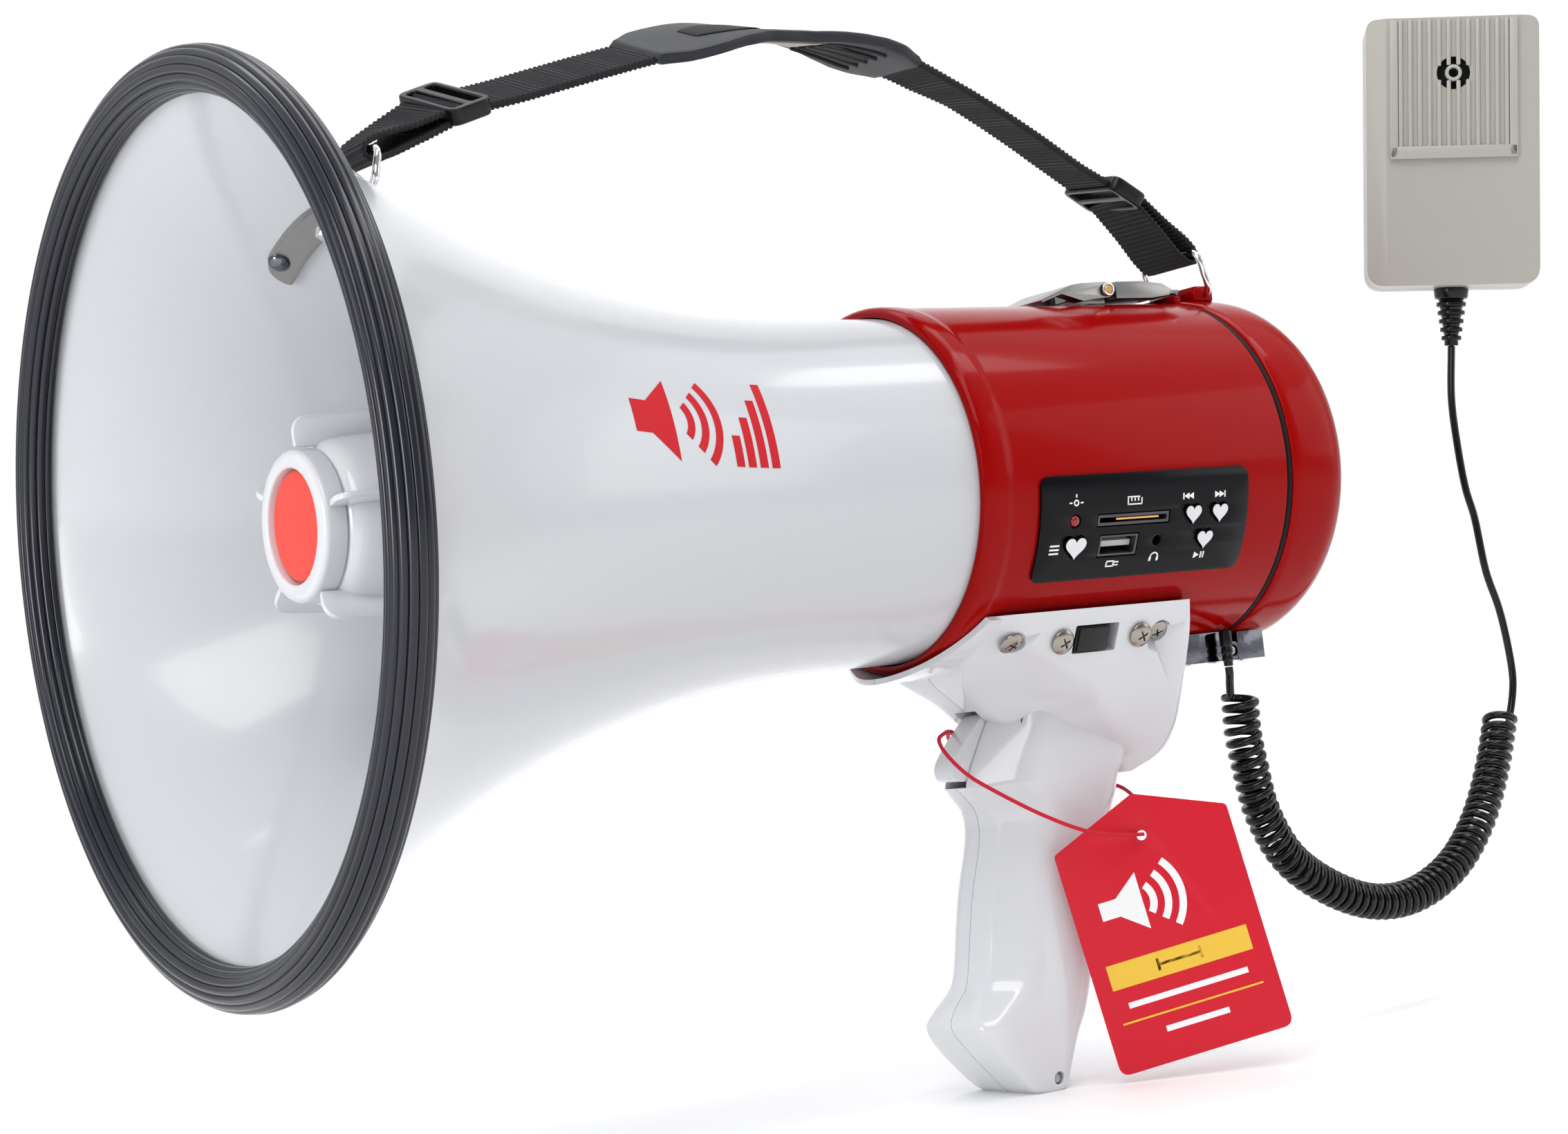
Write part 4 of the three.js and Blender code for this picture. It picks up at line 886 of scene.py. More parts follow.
# ---------------------------------------------------------------- strap
FRONT_BAIL_TOP = (50.6, 91.2)
REAR_BAIL_TOP = (313.6, 64)
FRONT_BAIL_SEAT = (47, -3.7)
REAR_BAIL_SEAT = (317, 52.3)
BAIL_HALF = 12.4
FRONT_TWIST = 23
REAR_TWIST = 12
REAR_END_TWIST = 10
RIB_STEPS_PER_MM = 2.5
RIB_HEIGHT = 0.24
RIB_PITCH_MM = 1.55
PAD_STEPS = 150
PAD_WIDTH = 26
PAD_RIB_DEPTH = 1.95
PAD_RIBS_RUN = slice(98, 132)


def make_bail(name, seat, top, body, node):
    """A bent wire from its seat up to the strap's loop; both places are (x, z)."""
    (x0, z0), (x1, z1) = seat, top
    xm, zm = x0 + (x1 - x0) * 0.5, z0 + (z1 - z0) * 0.5
    wire_r, corner, hook = 1.05, 1.6, 6

    def side(s):
        return [(x0, s * (BAIL_HALF - hook), z0), (x0, s * (BAIL_HALF - corner), z0),
                (x0 + (xm - x0) * 0.3, s * BAIL_HALF, z0 + (zm - z0) * 0.3), (xm, s * BAIL_HALF, zm),
                (x1 - (x1 - xm) * 0.35, s * BAIL_HALF, z1 - (z1 - zm) * 0.35),
                (x1, s * (BAIL_HALF - corner), z1)]
    line = smooth_curve([*side(-1), (x1, 0, z1), *reversed(side(1))], 8)
    done(tube(name, line, wire_r, 20), CHROME, body, [node])


def strap_line(stations, per_span):
    return smooth_curve([(x, 0, z) for x, z, _ in stations], per_span)


def strap_frames(stations, middle):
    """The place, the direction across and the one up, at each point of a strap's middle line."""
    marks = [Vector((x, 0, z)) for x, z, _ in stations]
    twists = [s[2] for s in stations]
    for i, p in enumerate(middle):
        a, b = middle[max(i - 1, 0)], middle[min(i + 1, len(middle) - 1)]
        along = (b - a).normalized()
        across = Matrix.Rotation(math.radians(twist_at(p, marks, twists)), 3, along) @ Vector((0, 1, 0))
        yield p, across, along.cross(across)


def flat_ring(p, across, up, outline, half_width, half_height, offset=0.0):
    """A strap's cross section: the outline's (u, v) pairs over the top, and mirrored below."""
    under = [(u, -v) for u, v in reversed(outline)]
    return [p + across * u * half_width + up * (offset + v * half_height) for u, v in outline + under]


def ribbed_band(name, stations, thickness):
    """Webbing: each station is (x, z, twist in degrees); the ribs run across."""
    line = strap_line(stations, 12)
    total = sum((b - a).length for a, b in zip(line, line[1:]))
    count = int(total * RIB_STEPS_PER_MM)
    outline = [(u, 0.35 if abs(u) == 1 else 1) for u in (-1, -0.97, -0.8, -0.4, 0, 0.4, 0.8, 0.97, 1)]
    rings = []
    for i, (p, across, up) in enumerate(strap_frames(stations, evenly(line, count))):
        swell = RIB_HEIGHT * math.sin(2 * math.pi * total * i / count / RIB_PITCH_MM)
        rings.append(flat_ring(p, across, up, outline, STRAP_WIDTH / 2, thickness / 2 + swell))
    return solid_of_rings(name, rings)


def twist_at(p, marks, twists):
    """The twist between the two stations that p lies between."""
    best = (1e9, 0.0)
    for a, b, ta, tb in zip(marks, marks[1:], twists, twists[1:]):
        d = b - a
        t = max(0.0, min(1.0, (p - a).dot(d) / d.length_squared))
        gap = (a + d * t - p).length
        if gap < best[0] - 1e-6:
            best = (gap, ta + (tb - ta) * t)
    return best[1]


def loop_around(bar_x, bar_z, end_x, end_z, gap_half, twist):
    """The stations of a loop of webbing that comes from its end, goes round the bar and returns."""
    dx, dz = end_x - bar_x, end_z - bar_z
    size = math.hypot(dx, dz)
    ux, uz = dx / size, dz / size

    def at(along, off, share):
        return bar_x + ux * along - uz * off, bar_z + uz * along + ux * off, twist * share
    r = 2.4
    way = 1 if end_x < bar_x else -1
    return [at(size, gap_half, way), at(size * 0.5, gap_half + 0.6, 0.6 * way), at(3, r + 0.3, 0.1 * way),
            at(-1.2, r - 0.4, 0), at(-r - 0.3, 0, 0), at(-1.2, 0.4 - r, 0), at(3, -r - 0.3, -0.1 * way),
            at(size * 0.5, -gap_half - 0.6, -0.6 * way), at(size, -gap_half, -way)]


def strap_piece(obj, material, nodes=()):
    """A piece of the strap; it is left in the row frame and not handed to a body."""
    done(obj, material, None)
    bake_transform(obj)
    if nodes:
        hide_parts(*nodes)


def webbing(node, stations, thickness):
    strap_piece(ribbed_band(node + "_fine", stations, thickness), WEBBING, [node])


PAD_OUTLINE = [(-1, 0.35), (-0.97, 0.8), (-0.9, 1), (-0.5, 0.94), (0, 0.92), (0.5, 0.94), (0.9, 1),
               (0.97, 0.8), (1, 0.35)]
PAD_STATIONS = [
    (134.8, 120.4, 24), (147, 123.4, 24), (159.7, 126.2, 21), (170, 127, 17), (178, 126.8, 15),
    (187, 126.6, 14), (196, 125.6, 8), (208, 123, 3), (222.2, 119, 5)]


def pad_band(name, thickness, widths, material, offset=0.0, nodes=(), low=0.0, high=1.0):
    """Part of the moulded pad, from low to high along it; widths are given along its run from 0 to 1."""
    middle = evenly(strap_line(PAD_STATIONS, 16), PAD_STEPS)
    rings = []
    for i, (p, across, up) in enumerate(strap_frames(PAD_STATIONS, middle)):
        t = i / PAD_STEPS
        if not low <= t <= high:
            continue
        k = t * (len(widths) - 1)
        j = min(int(k), len(widths) - 2)
        f = k - j
        f = f * f * (3 - 2 * f)
        half = (widths[j] * (1 - f) + widths[j + 1] * f) / 2
        end = min(1.0, max(0.0, min(t - low, high - t)) * PAD_STEPS / 3 + 0.25)
        rings.append(flat_ring(p, across, up, PAD_OUTLINE, half, end * thickness / 2, offset))
    strap_piece(solid_of_rings(name, rings), material, nodes)


def pad_rib(name, share):
    """A moulded rib along the rear half of the pad's underside."""
    rib_r = 0.45
    middle = evenly(strap_line(PAD_STATIONS, 16), PAD_STEPS)[PAD_RIBS_RUN]
    points = [p + across * share * PAD_WIDTH - up * PAD_RIB_DEPTH
              for p, across, up in strap_frames(PAD_STATIONS, middle)]
    strap_piece(tube(name, points, rib_r, 8), PAD_GREY)


def make_strap():
    webbing("strap_webbing_front", [(x, z, FRONT_TWIST) for x, z in (
        (80, 105.6), (94, 108.9), (106, 112.2), (122.7, 116.8), (140, 121.3))], 1.9)
    webbing("strap_webbing_rear", [
        (214, 121, 4), (223, 118.6, 6), (232, 114.9, 8), (243.6, 110.1, REAR_TWIST),
        (262, 100.2, REAR_TWIST), (277, 91.2, REAR_TWIST), (288, 85.2, 9)], 1.9)
    webbing("strap_front_loop", loop_around(*FRONT_BAIL_TOP, 76, 104.7, 1.4, FRONT_TWIST), 1.4)
    webbing("strap_rear_loop", loop_around(*REAR_BAIL_TOP, 294.5, 82.2, 1.2, 3), 1.2)
    pad_band("strap_pad_fine", 3.4, [22, 30, 32, 30, 25, 23, 25, 29, 30, 22], PAD_GREY,
             nodes=["strap_pad"])
    pad_band("pad_window_front", 0.6, [1, 13, 14, 1], SHADOW_BLACK, offset=1.7, low=0.2, high=0.42)
    pad_band("pad_window_rear", 0.6, [1, 13, 14, 1], SHADOW_BLACK, offset=-1.75, low=0.66, high=0.86)
    pad_band("pad_lining", 0.5, [3, 15, 17, 10], PAD_BEIGE, offset=-1.8, low=0.47, high=0.64)
    for k in range(5):
        pad_rib(f"pad_rib_{k}", -0.36 + 0.18 * k)
    slider("strap_slider_front", (77, 105.4), 19, FRONT_TWIST)
    slider("strap_slider_rear", (291.5, 83.6), -30, REAR_END_TWIST)


def slider(node, centre, slope, twist):
    """A ladder slider: a thick frame with a middle bar, rounded all over."""
    length, width, half_thick = 12.5, 26, 2.3
    slot_length, slot_width, slot_x = 3.4, 21.5, 2.9
    ring = prism(node + "_fine", softened(rectangle(length, width, 3), 5), -half_thick, half_thick)
    slot = softened(rectangle(slot_length, slot_width, 0.8))
    cut(ring, *[prism("slot", slot, -6, 6, Matrix.Translation((x, 0, 0))) for x in (-slot_x, slot_x)])
    bevelled(ring, 0.8, 3, 45)
    ring.data.transform(Matrix.Translation((centre[0], 0, centre[1]))
                        @ Matrix.Rotation(math.radians(-slope), 4, "Y")
                        @ Matrix.Rotation(math.radians(twist), 4, "X"))
    strap_piece(ring, BLACK, [node])


# ---------------------------------------------------------------- pistol grip
# Level sections: z, front x, rear x, half width, rear corner radius, half width of the front face, and
# how far back the sides reach their full width.
HANDLE_SECTIONS = [
    (-50, 207, 262, 17, 6, 9.5, 14), (-52.7, 210.3, 264, 17, 6, 9, 13), (-62.4, 223, 268, 17, 6, 5, 10),
    (-64, 223.6, 268, 17, 6, 4.6, 9.5), (-72, 219, 268, 17, 7, 4.6, 11),
    (-81, 213.9, 265.5, 16.6, 8, 4.6, 12.5), (-83.3, 213.8, 263.5, 16.5, 8, 6, 12),
    (-84.5, 215.3, 262.8, 16.4, 8, 7, 11), (-90, 219.3, 261.2, 16.4, 9, 7.7, 10.5),
    (-98, 219.7, 257.5, 16.6, 9, 8, 10), (-111, 215.8, 253.3, 17, 9, 8, 10),
    (-122, 213.2, 250, 17, 9, 8, 10), (-133, 211, 246.8, 17, 9, 8, 10),
    (-138, 209.4, 245.3, 17, 9, 8.5, 9.5), (-143.5, 204.9, 243.1, 16.8, 8, 10, 8),
    (-148, 203.6, 241.4, 16.6, 8, 12.5, 5), (-154, 207.6, 237.8, 16.2, 7, 14, 3),
    (-162, 214.7, 234.4, 15.6, 6, 14, 2.5), (-166.6, 219, 232.8, 14.6, 5, 13, 2.5),
    (-AXIS_HEIGHT, 220.9, 232.3, 13.6, 5, 12, 2.5)]
SADDLE_SECTIONS = [
    (-38, 207, 275, 37.5, 2.5, 34, 3), (-46, 206, 277.2, 33.6, 2.5, 25, 14),
    (-54, 210, 278.5, 29.7, 3, 14, 23), (-60, 217, 279.4, 26.8, 4, 10, 26),
    (-66, 224, 280.6, 23.6, 5, 10, 26), (-72, 236, 281.7, 20.2, 6, 10, 22),
    (-78, 249, 280.1, 17.4, 7, 10, 15), (-81, 253, 275.5, 16.4, 6, 10, 10),
    (-84, 256, 266.5, 15.6, 4, 10, 6)]
LANYARD = (227, -164.4)
SADDLE_R = 51
RECESSED_X = (214.2, 265)
SURFACE_X = (229.8, 257.3)
SCREW_DOWN = 9.1
TRIGGER_HALF = 4.4
TRIGGER_SLOT_HALF = 4.8
TRIGGER_BORE_R = 1.65
PIN_BORE_R = 1.6
PIN_BORE_HALF = 13.3
LANYARD_BORE_R = 1.8
SCREW_BORE_R = 1.75
SCREW_RECESS_R = 4.3
SIDE_SPLIT = 0.15


def section_ring(section, flute=0.0):
    """One level section. flute is how far the finger strip down the front is set in from the sides."""
    z, front, rear, half, corner, nose, taper = section
    half_ring = []
    for k in range(9):
        a = math.radians(90 * k / 8)
        half_ring.append((rear - corner + corner * math.cos(a), half - corner + corner * math.sin(a)))
    shoulder, edge = Vector((front + taper, half)), Vector((front, nose))
    slant = (edge - shoulder).normalized()
    inward = Vector((-slant.y, slant.x)) * flute
    back = min(3.5, (rear - corner - shoulder.x) * 0.5)
    half_ring.append((shoulder.x + back * 1.3, half))
    reach = min(3.5, (edge - shoulder).length * 0.4)
    for start, tip, end in ((Vector((back, 0)), shoulder, slant * reach),
                            (slant * -reach * 0.8, edge, Vector((0, -reach * 0.8)))):
        for k in range(5):
            t = k / 4
            p = tip + start * (1 - t) ** 2 + end * t * t
            half_ring.append(tuple(p + (inward if k or tip is edge else inward * 0.4)))
    mirrored = [(x, -y) for x, y in reversed(half_ring)]
    return [(x, y, z) for x, y in half_ring + mirrored]


def smooth_sections(group):
    """The sections with three smooth ones added in each span, on cubic Hermite curves."""
    out = []
    for i in range(len(group) - 1):
        before, here = group[max(i - 1, 0)], group[i]
        there, after = group[i + 1], group[min(i + 2, len(group) - 1)]
        span = there[0] - here[0]
        for k in range(4):
            t = k / 4
            row = [here[0] + span * t]
            for p0, p1, p2, p3 in zip(before[1:], here[1:], there[1:], after[1:]):
                m1 = (p2 - p0) / (there[0] - before[0]) * span
                m2 = (p3 - p1) / (after[0] - here[0]) * span
                row.append((2 * t ** 3 - 3 * t * t + 1) * p1 + (t ** 3 - 2 * t * t + t) * m1
                           + (3 * t * t - 2 * t ** 3) * p2 + (t ** 3 - t * t) * m2)
            out.append(row)
    out.append(group[-1])
    return out


def on_face(x, down, out):
    """A point at x, `down` from the top edge of the grip's near face and `out` from it."""
    y = FACE_TOP[0] - down * math.sin(FACE_TILT) + out * math.cos(FACE_TILT)
    z = FACE_TOP[1] - down * math.cos(FACE_TILT) - out * math.sin(FACE_TILT)
    return x, -y, z


def face_basis():
    """(u, v, w) is along the near face, up it and out from it."""
    up = Vector((0, -math.sin(FACE_TILT), math.cos(FACE_TILT)))
    out = Vector((0, -math.cos(FACE_TILT), -math.sin(FACE_TILT)))
    return Matrix.Translation((0, -FACE_TOP[0], FACE_TOP[1])) @ basis_of(Vector((1, 0, 0)), up, out)


def face_prism(name, x0, x1, down0, down1, out0, out1, r=0.0):
    outline = [(u + (x0 + x1) / 2, v - (down0 + down1) / 2)
               for u, v in softened(rectangle(x1 - x0, down1 - down0, r))]
    return prism(name, outline, out0, out1, face_basis())


def flute_at(z):
    """How far in the finger strip is at that height."""
    return 0.55 * max(0.0, min(1.0, (z + 146) / 6, (-87 - z) / 4))


def pocket(x, corners, depth):
    """A three-sided hollow in the near face, running down to a recessed screw."""
    place = face_basis()
    rim = [place @ Vector((x + u, -down, 0.4)) for u, down in corners]
    tip = place @ Vector((x, -SCREW_DOWN - 0.6, -depth))
    return new_object("pocket", [*rim, tip], [(0, 1, 2), (0, 1, 3), (1, 2, 3), (2, 0, 3)])


# Each pocket's corners on the face: along it from the screw, and down from its top edge.
POCKETS = [((-9.5, 8.6), (8.5, 5.6), (1.5, 18)), ((-4.6, 8.4), (9.5, 6.2), (7.2, 26))]


def recess_axis():
    """The recessed screws point at the barrel's axis."""
    return Vector((0, -0.62, -0.785)).normalized()


def make_grip():
    grip = solid_of_rings("grip", [section_ring(s, flute_at(s[0]))
                                   for s in smooth_sections(HANDLE_SECTIONS)])
    united(grip, solid_of_rings("saddle_top", [section_ring(s) for s in smooth_sections(SADDLE_SECTIONS)]))
    side = [(214, 37), (206, 36.5, 3), (198, 23, 6), (191.5, 9, 5)]
    plan = softened([*[(x, -y, *r) for x, y, *r in side], (190, 0, 5), *side[::-1]])
    low, high = SADDLE_R - 0.05, SADDLE_R + 1.5
    flange = turned("flange", [(186, low), (216, low), (216, high), (186, high)], 80, sweep=(228, 312))
    combine(flange, [prism("plan", plan, -70, -20)], "INTERSECT")
    united(grip, flange)
    x, z = TRIGGER_PIN
    lx, lz = LANYARD
    tools = [turned("saddle", [(180, 0), (180, SADDLE_R), (300, SADDLE_R), (300, 0)], 192),
             block("slot", (200, -TRIGGER_SLOT_HALF, -83.2), (235.2, TRIGGER_SLOT_HALF, -62.6)),
             rod("pin_bore", (x, -PIN_BORE_HALF, z), (x, PIN_BORE_HALF, z), PIN_BORE_R, 24),
             rod("lanyard_bore", (lx, -30, lz), (lx, 30, lz), LANYARD_BORE_R, 24),
             face_prism("switch_window", 234.2, 249.4, 5, 13.2, -6.4, 4, 0.6)]
    tools += [rod("bore", on_face(sx, SCREW_DOWN, 2), on_face(sx, SCREW_DOWN, -6.6), SCREW_BORE_R, 24)
              for sx in SURFACE_X]
    for rx, corners in zip(RECESSED_X, POCKETS):
        seat = Vector(on_face(rx, SCREW_DOWN, -2.6))
        tools += [pocket(rx, corners, 4.2),
                  rod("recess", seat, seat + recess_axis() * 9, SCREW_RECESS_R, 40)]
    cut(grip, *tools)
    far = linked("handle_far_fine", grip.data.copy())
    cut(grip, block("side", (150, -SIDE_SPLIT, -180), (320, 80, 0)))
    cut(far, block("side", (150, -80, -180), (320, SIDE_SPLIT, 0)))
    grip.name = "handle_near_fine"
    for obj, node in ((grip, "handle_near"), (far, "handle_far")):
        bevelled(obj, 0.5, 3, 30)
        done(obj, WHITE, nodes=[node], angle=40)


def cross_screw(name, start, end, nodes=()):
    """A pan-head screw with a cross recess. Its head is at start and its shank runs to end."""
    shank = turned(name, [(0, 0), (0, 1.4), (5.6, 1.4), (5.6, 0)], 24)
    head = turned("head", softened([
        (0.7, 0), (0.7, 3.6, 0.2), (0.05, 3.65, 0.3), (-0.75, 2.4, 0.8), (-0.95, 0.8, 0.4), (-0.95, 0)]), 48)
    cut(head, *[block("slot", (-1.6, -y, -z), (-0.1, y, z)) for y, z in ((1.7, 0.28), (0.28, 1.7))])
    obj = joined(shank, head)
    spin = Matrix.Rotation(math.radians(27 if name.endswith("1") else 61), 4, "X")
    done(obj, NICKEL, nodes=nodes, place=towards(start, end) @ spin)


def make_grip_fittings():
    for i, x in enumerate(SURFACE_X, 1):
        cross_screw(f"handle_screw_{i}_fine", on_face(x, SCREW_DOWN, 1.1), on_face(x, SCREW_DOWN, -3),
                    [f"handle_screw_{i}"])
    for i, x in enumerate(RECESSED_X, 1):
        seat = Vector(on_face(x, SCREW_DOWN, -2.6))
        cross_screw(f"recessed_screw_{i}", seat + recess_axis() * 0.9, seat - recess_axis() * 8)
    refined("lanyard_pin", STEEL, bevel=0.2)
    refined("slide_switch_body", BLACK, bevel=0.15)
    knob = face_prism("slide_switch_knob_fine", 234.7, 246.2, 5.5, 12.7, -3, 0.15, 0.3)
    united(knob, face_prism("thumb_rise", 235.4, 245.2, 5.7, 12.5, -0.6, 0.75))
    done(bevelled(knob, 0.35, 3), BLACK, "slide_switch_knob", ["slide_switch_knob"])


def make_trigger():
    x, z = TRIGGER_PIN
    outline = softened([
        (226.5, -63.4, 1), (222.8, -63.6, 1.5), (217, -69, 3), (211.8, -74.5, 3), (210.2, -77.5, 2),
        (210.6, -80.2, 1), (212.5, -81.4, 1), (219, -81.6, 1), (226, -81.8, 1), (230, -76, 1),
        (231.2, -70, 1), (234, -68.5, 1), (234, -63.4, 1)], 6)
    obj = prism("trigger_fine", outline, -TRIGGER_HALF, TRIGGER_HALF, ALONG_Y)
    cut(obj, rod("bore", (x, -20, z), (x, 20, z), TRIGGER_BORE_R, 24))
    bevelled(obj, 1.4, 5, 50)
    done(obj, WHITE, "trigger", ["trigger"], angle=40)
    refined("trigger_pin", STEEL, bevel=0.2)
    refined("trigger_switch", BLACK, bevel=0.2)


# ---------------------------------------------------------------- microphone
GRILLE_W, GRILLE_Z, GRILLE_H = 40, 19.5, 44
RIBS = 12
RIB_PITCH = 3
EAR_Z = 24.5


def mic_outline():
    w, h = MIC_W / 2, MIC_H / 2
    return softened([(-w, -h, 6), (w, -h, 6), (w, h, 3.7), (-w, h, 3.7)], 8)


def make_mic():
    front = prism("mic_front_fine", mic_outline(), -MIC_D / 2, 0, ALONG_Y)
    y = -MIC_D / 2
    cut(front, prism("slope", [(-60, y - 4), (-36.5, y - 1), (-36.5, y), (-60, y + 9)], -40, 40,
                     Matrix(((0, 0, 1, 0), (0, 1, 0, 0), (1, 0, 0, 0), (0, 0, 0, 1)))))
    for side in (-1, 1):
        cut(front, prism("corner", [(side * 30, y - 3), (side * 21, y - 3), (side * 21, y),
                                    (side * 30, y + 4.2)], -60, 60))
    cut(front, rod("ear", (0, -16, EAR_Z), (0, -8, EAR_Z), 6.4, 40))
    bevelled(front, 1.0, 4, 24)
    done(front, MIC_GREY, nodes=["mic_front"], place=MIC_AT, angle=35)
    back = prism("mic_back_fine", mic_outline(), GAP, MIC_D / 2, ALONG_Y)
    cut(back, block("window", (-12.4, 6.9, -2.4), (12.4, 16, 22.4)))
    bevelled(back, 1.6, 4, 40)
    done(back, MIC_GREY, nodes=["mic_back"], place=MIC_AT, angle=35)
    make_mic_grille()
    button = bevelled(block("mic_button_fine", (-12, 8.4, -2), (12, 15.6, 22)), 1.0, 3)
    ridges = [bevelled(block("ridge", (-8, 15.3, 2 + 3.2 * k), (8, 15.6, 3.4 + 3.2 * k)), 0.1)
              for k in range(6)]
    done(joined(button, *ridges), MIC_GREY, "mic_button", ["mic_button"], place=MIC_AT)
    done(rod("mic_capsule_fine", (0, -12, EAR_Z), (0, -4, EAR_Z), 5.6, 48), SHADOW_BLACK,
         nodes=["mic_capsule"], place=MIC_AT)
    make_strain_relief()


def make_mic_grille():
    front = -MIC_D / 2
    top, low = GRILLE_Z + GRILLE_H / 2, GRILLE_Z - GRILLE_H / 2
    half = GRILLE_W / 2
    side_x, side_half, rib_half, ear_r = 18.6, 1.3, 0.65, 5
    outline = softened([(-half, low, 1), (half, low, 1), (half - 1, top, 0.6), (1 - half, top, 0.6)])
    plate = prism("mic_grille_fine", outline, front - 0.9, front - 0.05, ALONG_Y)
    cut(plate, rod("ear", (0, -20, EAR_Z), (0, -8, EAR_Z), 5.2, 40))
    bars = [block("frame", (x - side_half, front - 2, low + 0.4), (x + side_half, front - 0.8, top))
            for x in (-side_x, side_x)]
    bars.append(block("frame", (-half + 0.2, front - 2, low), (half - 0.2, front - 0.8, low + 4)))
    for i in range(RIBS):
        x = (i - (RIBS - 1) / 2) * RIB_PITCH
        runs = [(low + 3.5, top)]
        if abs(x) < ear_r:
            spread = 2.4 if abs(x) < 2 else math.sqrt(ear_r ** 2 - x * x)
            runs = [(low + 3.5, EAR_Z - spread), (EAR_Z + spread, top)]
        for z0, z1 in runs:
            bars.append(block("rib", (x - rib_half, front - 1.95, z0), (x + rib_half, front - 0.8, z1)))
    for obj in bars:
        bevelled(obj, 0.35, 2)
    ring = turned("ring", softened([
        (13.4, 1.5, 0.2), (13.4, 2.7, 0.3), (15.45, 2.6, 0.5), (15.45, 1.5, 0.4)]), 40)
    ring.data.transform(Matrix.Translation((0, 0, EAR_Z)) @ TURN_X_TO_Y @ Matrix.Scale(-1, 4, (1, 0, 0)))
    done(joined(plate, *bars, ring), MIC_GREY, nodes=["mic_grille"], place=MIC_AT, angle=40)


def make_strain_relief():
    top = MIC_H / 2 + GAP
    profile = [(0, 0), (0, 5.6, 0.4), (3.2, 5.2, 0.5), (3.4, 4.2, 0.2)]
    for k in range(5):
        x = 4.2 + 2.7 * k
        r = 4.7 - 0.38 * k
        profile += [(x, r - 1.0, 0.2), (x + 0.2, r, 0.3), (x + 1.5, r, 0.3), (x + 1.7, r - 1.0, 0.2)]
    profile += [(18.3, 2.2, 0.3), (18.3, 0)]
    obj = turned("mic_strain_relief_fine", softened(profile, 3), 40)
    obj.data.transform(towards((0, 0, -top), (0, 0, -top - 10)))
    done(obj, CORD_BLACK, nodes=["mic_strain_relief"], place=MIC_AT)


# ---------------------------------------------------------------- swing tag
TAG_HOLE = (249.7, -34, -101)
TAG_LEAN = -17.1
TAG_HALF_THICK = 0.4
STRING_R = 0.55
TAG_AT = turned_at(TAG_HOLE, TAG_TURN) @ Matrix.Rotation(math.radians(TAG_LEAN), 4, "Y")
STRING = [
    (249.3, -35.4, -100.7), (243, -34.6, -100.2), (232.5, -32, -97.9), (223.6, -26, -92.7),
    (212.1, -20.5, -84.7), (205.6, -17, -79.2), (202.7, -12, -72.7), (204.1, -8, -69.3),
    (210.1, -3, -67.6), (216, 3, -67.4), (219.5, 6.4, -67.7), (224, 14.5, -68.5), (232, 23, -71),
    (245, 24, -75.5), (257, 20.5, -80.5), (267, 14.5, -85.4), (269.8, 6, -86.8), (269.8, -3, -88.5),
    (267, -12, -91.5), (261, -22, -95), (254.7, -28, -98.2)]


def make_tag():
    outline = softened([
        (-24.6, -61.6, 3), (24.6, -61.6, 3), (24.6, 1.5, 1), (0.6, 11.7, 1), (-24.6, 1.5, 1)], 6)
    card = prism("hang_tag_fine", outline, -TAG_HALF_THICK, TAG_HALF_THICK, ALONG_Y)
    cut(card, rod("hole", (0, -2, 0), (0, 2, 0), 1.4, 32))
    bevelled(card, 0.12)
    done(card, TAG_RED, "hang_tag", ["hang_tag"], place=TAG_AT)
    eyelet = turned("tag_eyelet", softened([
        (-0.55, 1.4, 0.1), (-0.55, 2.5, 0.1), (0.55, 2.5, 0.1), (0.55, 1.4, 0.1)]), 40)
    done(eyelet, TAG_RED, "hang_tag", place=TAG_AT @ TURN_X_TO_Y)

    def marks(name, material, outlines):
        pieces = [prism(name, o, -TAG_HALF_THICK - 0.1, -TAG_HALF_THICK + 0.02, ALONG_Y) for o in outlines]
        done(joined(*pieces), material, "hang_tag", place=TAG_AT)
    waves = [[(u - 8, v - 17) for u, v in q]
             for r in (7, 11, 15) for q in ring_marks(r, 2.0, n=16, arc=80, start=-40)]
    horn = [(-17, -19.5), (-12, -19.5), (-5, -25), (-5, -9), (-12, -14.5), (-17, -14.5)]
    marks("tag_sign_sound", PRINT_WHITE, [*waves, horn])
    marks("tag_band", PRINT_YELLOW, [bar(0, -35, 40, 7)])
    marks("tag_lines", PRINT_WHITE, [bar(0, -43.5, 34, 1.6), bar(0, -52.5, 18, 1.6)])
    marks("tag_rule", PRINT_YELLOW, [bar(0, -48, 40, 0.5)])
    marks("tag_band_sign", PRINT_RED, [bar(0, -35, 12, 0.8), bar(-6, -35, 0.8, 3.4), bar(6, -35, 0.8, 3.4)])
    cord = cord_curve("tag_string_fine", smooth_curve(STRING, 8), STRING_R, STRING_RED)
    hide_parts("tag_string")


# ---------------------------------------------------------------- inside
def make_inside():
    for node, material in (("driver_magnet_housing", STEEL), ("driver_diaphragm", BLACK),
                           ("circuit_board", BOARD), ("battery_pack", CELL)):
        kept(node, material)


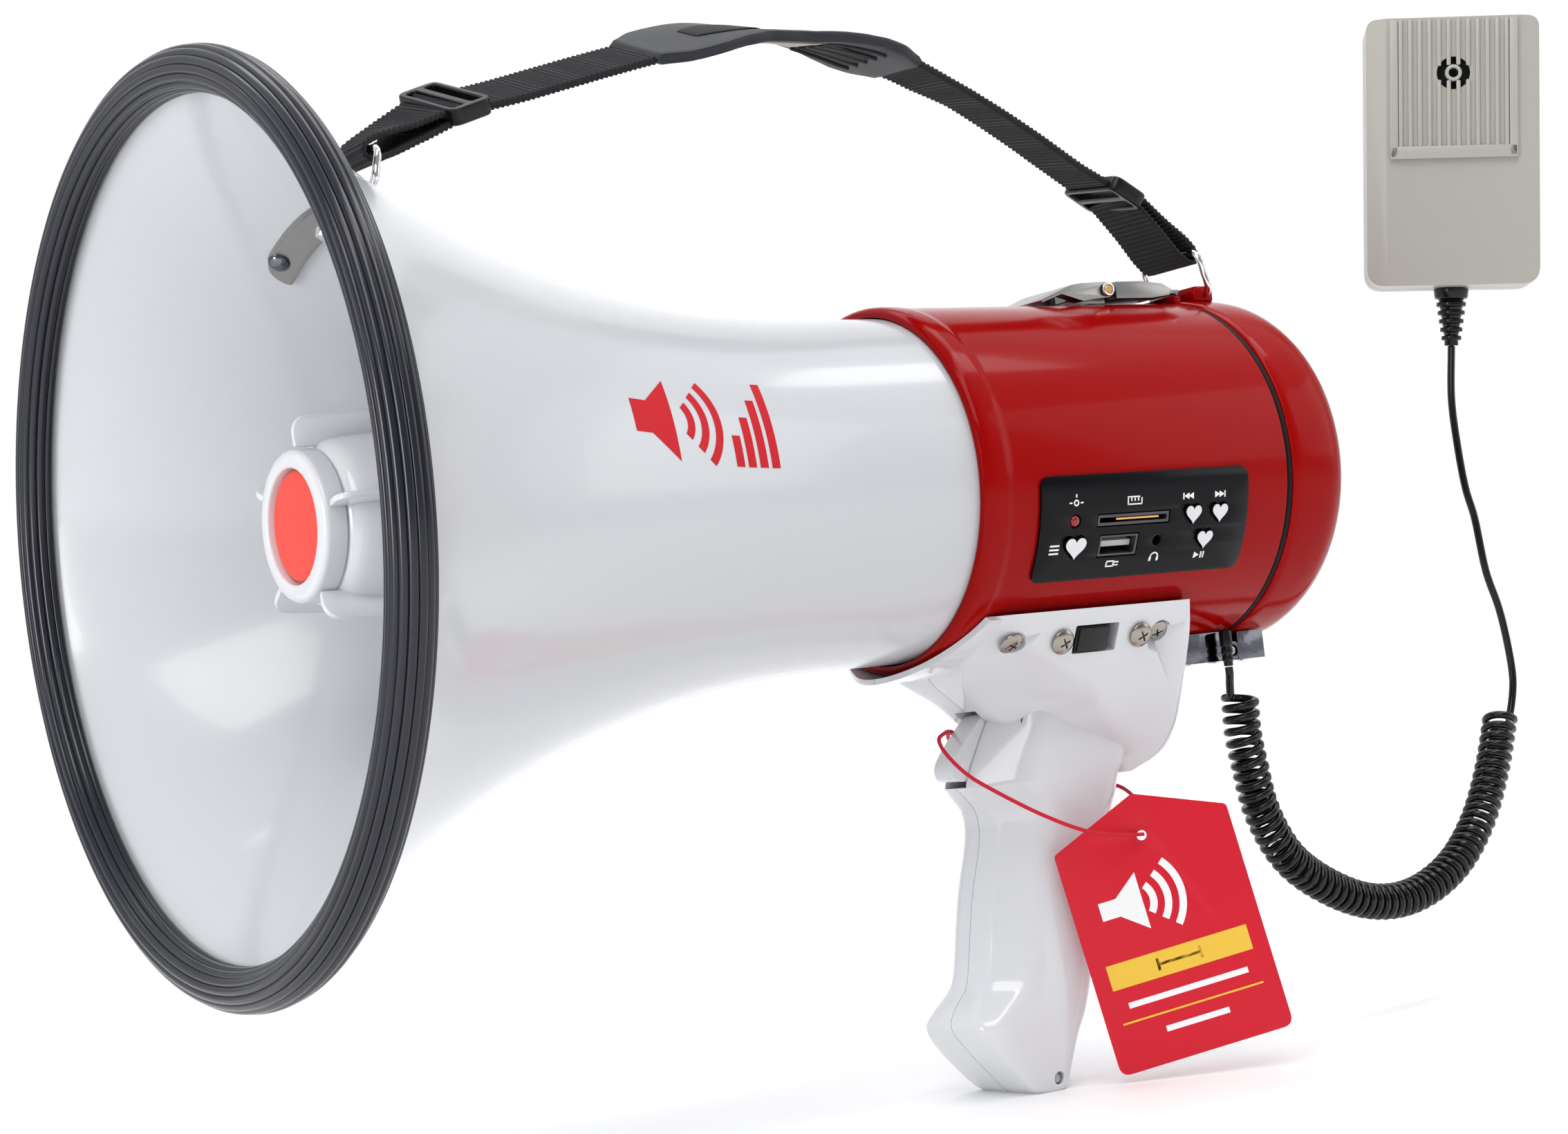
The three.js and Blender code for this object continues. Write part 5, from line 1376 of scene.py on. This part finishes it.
# ---------------------------------------------------------------- studio
def make_stage():
    """A pale floor that curves up into the backdrop behind the object."""
    view = Vector((0.5561, 0.8296, 0)).normalized()
    side = Vector((view.y, -view.x, 0))
    bend, front, reach, wall, half_width, steps = 0.9, -2.2, 1.1, 2.6, 3.5, 24
    profile = [(front, 0), (reach, 0)]
    profile += [(reach + bend * math.sin(a), bend * (1 - math.cos(a)))
                for a in [math.pi / 2 * k / steps for k in range(1, steps + 1)]]
    profile.append((reach + bend, wall))
    verts = [view * d + side * s + Vector((0, 0, h)) for d, h in profile for s in (-half_width, half_width)]
    faces = [(2 * i, 2 * i + 1, 2 * i + 3, 2 * i + 2) for i in range(len(profile) - 1)]
    mesh = bpy.data.meshes.new("floor")
    mesh.from_pydata(verts, [], faces)
    floor = linked("floor", mesh)
    mesh.shade_smooth()
    mesh.materials.append(finish("pale_floor", (0.93, 0.93, 0.935), 0.6, spread=0.004, scale=3))


def area_light(name, place, target, size, power, height=None):
    data = bpy.data.lights.new(name, "AREA")
    data.energy = power
    data.size = size
    if height:
        data.shape = "RECTANGLE"
        data.size_y = height
    light = linked(name, data)
    light.location = place
    light.rotation_euler = (Vector(target) - Vector(place)).to_track_quat("-Z", "Y").to_euler()


TOWARDS_VIEWER = (-0.553, -0.825, -0.1)
FAR_STRENGTH = 0.9
NEAR_STRENGTH = 0.34


def make_world():
    """A studio that is bright overhead and behind the object, and dimmer on the side it is seen from."""
    world = bpy.data.worlds.new("studio")
    world.use_nodes = True
    tree = world.node_tree
    background = tree.nodes["Background"]
    background.inputs["Color"].default_value = (0.95, 0.97, 1.0, 1)
    facing = add_node(tree, "VectorMath")
    facing.operation = "DOT_PRODUCT"
    facing.inputs[1].default_value = TOWARDS_VIEWER
    tree.links.new(add_node(tree, "TexCoord").outputs["Generated"], facing.inputs[0])
    level = add_node(tree, "MapRange", (facing.outputs["Value"], "Value"), From_Min=-0.1, From_Max=0.6,
                     To_Min=FAR_STRENGTH, To_Max=NEAR_STRENGTH)
    tree.links.new(level.outputs["Result"], background.inputs["Strength"])
    bpy.context.scene.world = world


def make_lights():
    area_light("key", (-1.0, -1.1, 1.5), (0, 0, 0.15), 1.0, 12)
    area_light("top_strip", (0.2, -0.5, 1.3), (0.0, 0, 0.2), 1.6, 5.5, height=0.3)
    area_light("right_fill", (1.5, -0.9, 0.7), (0, 0, 0.15), 1.0, 3)
    area_light("mouth_fill", (-1.6, -0.3, 0.35), (-0.2, 0, 0.17), 0.6, 10)
    area_light("backdrop_light", (0.3, 0.5, 1.6), (1.0, 1.5, 0.2), 1.4, 14)
    scene = bpy.context.scene
    scene.view_settings.view_transform = "Standard"
    scene.view_settings.exposure = 0.0


make_camera()
make_mic_cord()
make_stage()
make_world()
make_lights()
make_bell()
make_bumper()
make_bell_print()
make_strap_bracket()
make_reflector()
make_body()
make_cap()
make_hinge()
make_latch()
make_panel()
make_buttons()
make_sockets()
make_panel_signs()
make_bail("strap_bail_front_fine", bell_offset(*FRONT_BAIL_SEAT), FRONT_BAIL_TOP, ROOT, "strap_bail_front")
make_bail("strap_bail_rear_fine", REAR_BAIL_SEAT, REAR_BAIL_TOP, "rear_cap", "strap_bail_rear")
make_strap()
make_grip()
make_grip_fittings()
make_trigger()
make_mic()
make_tag()
make_inside()
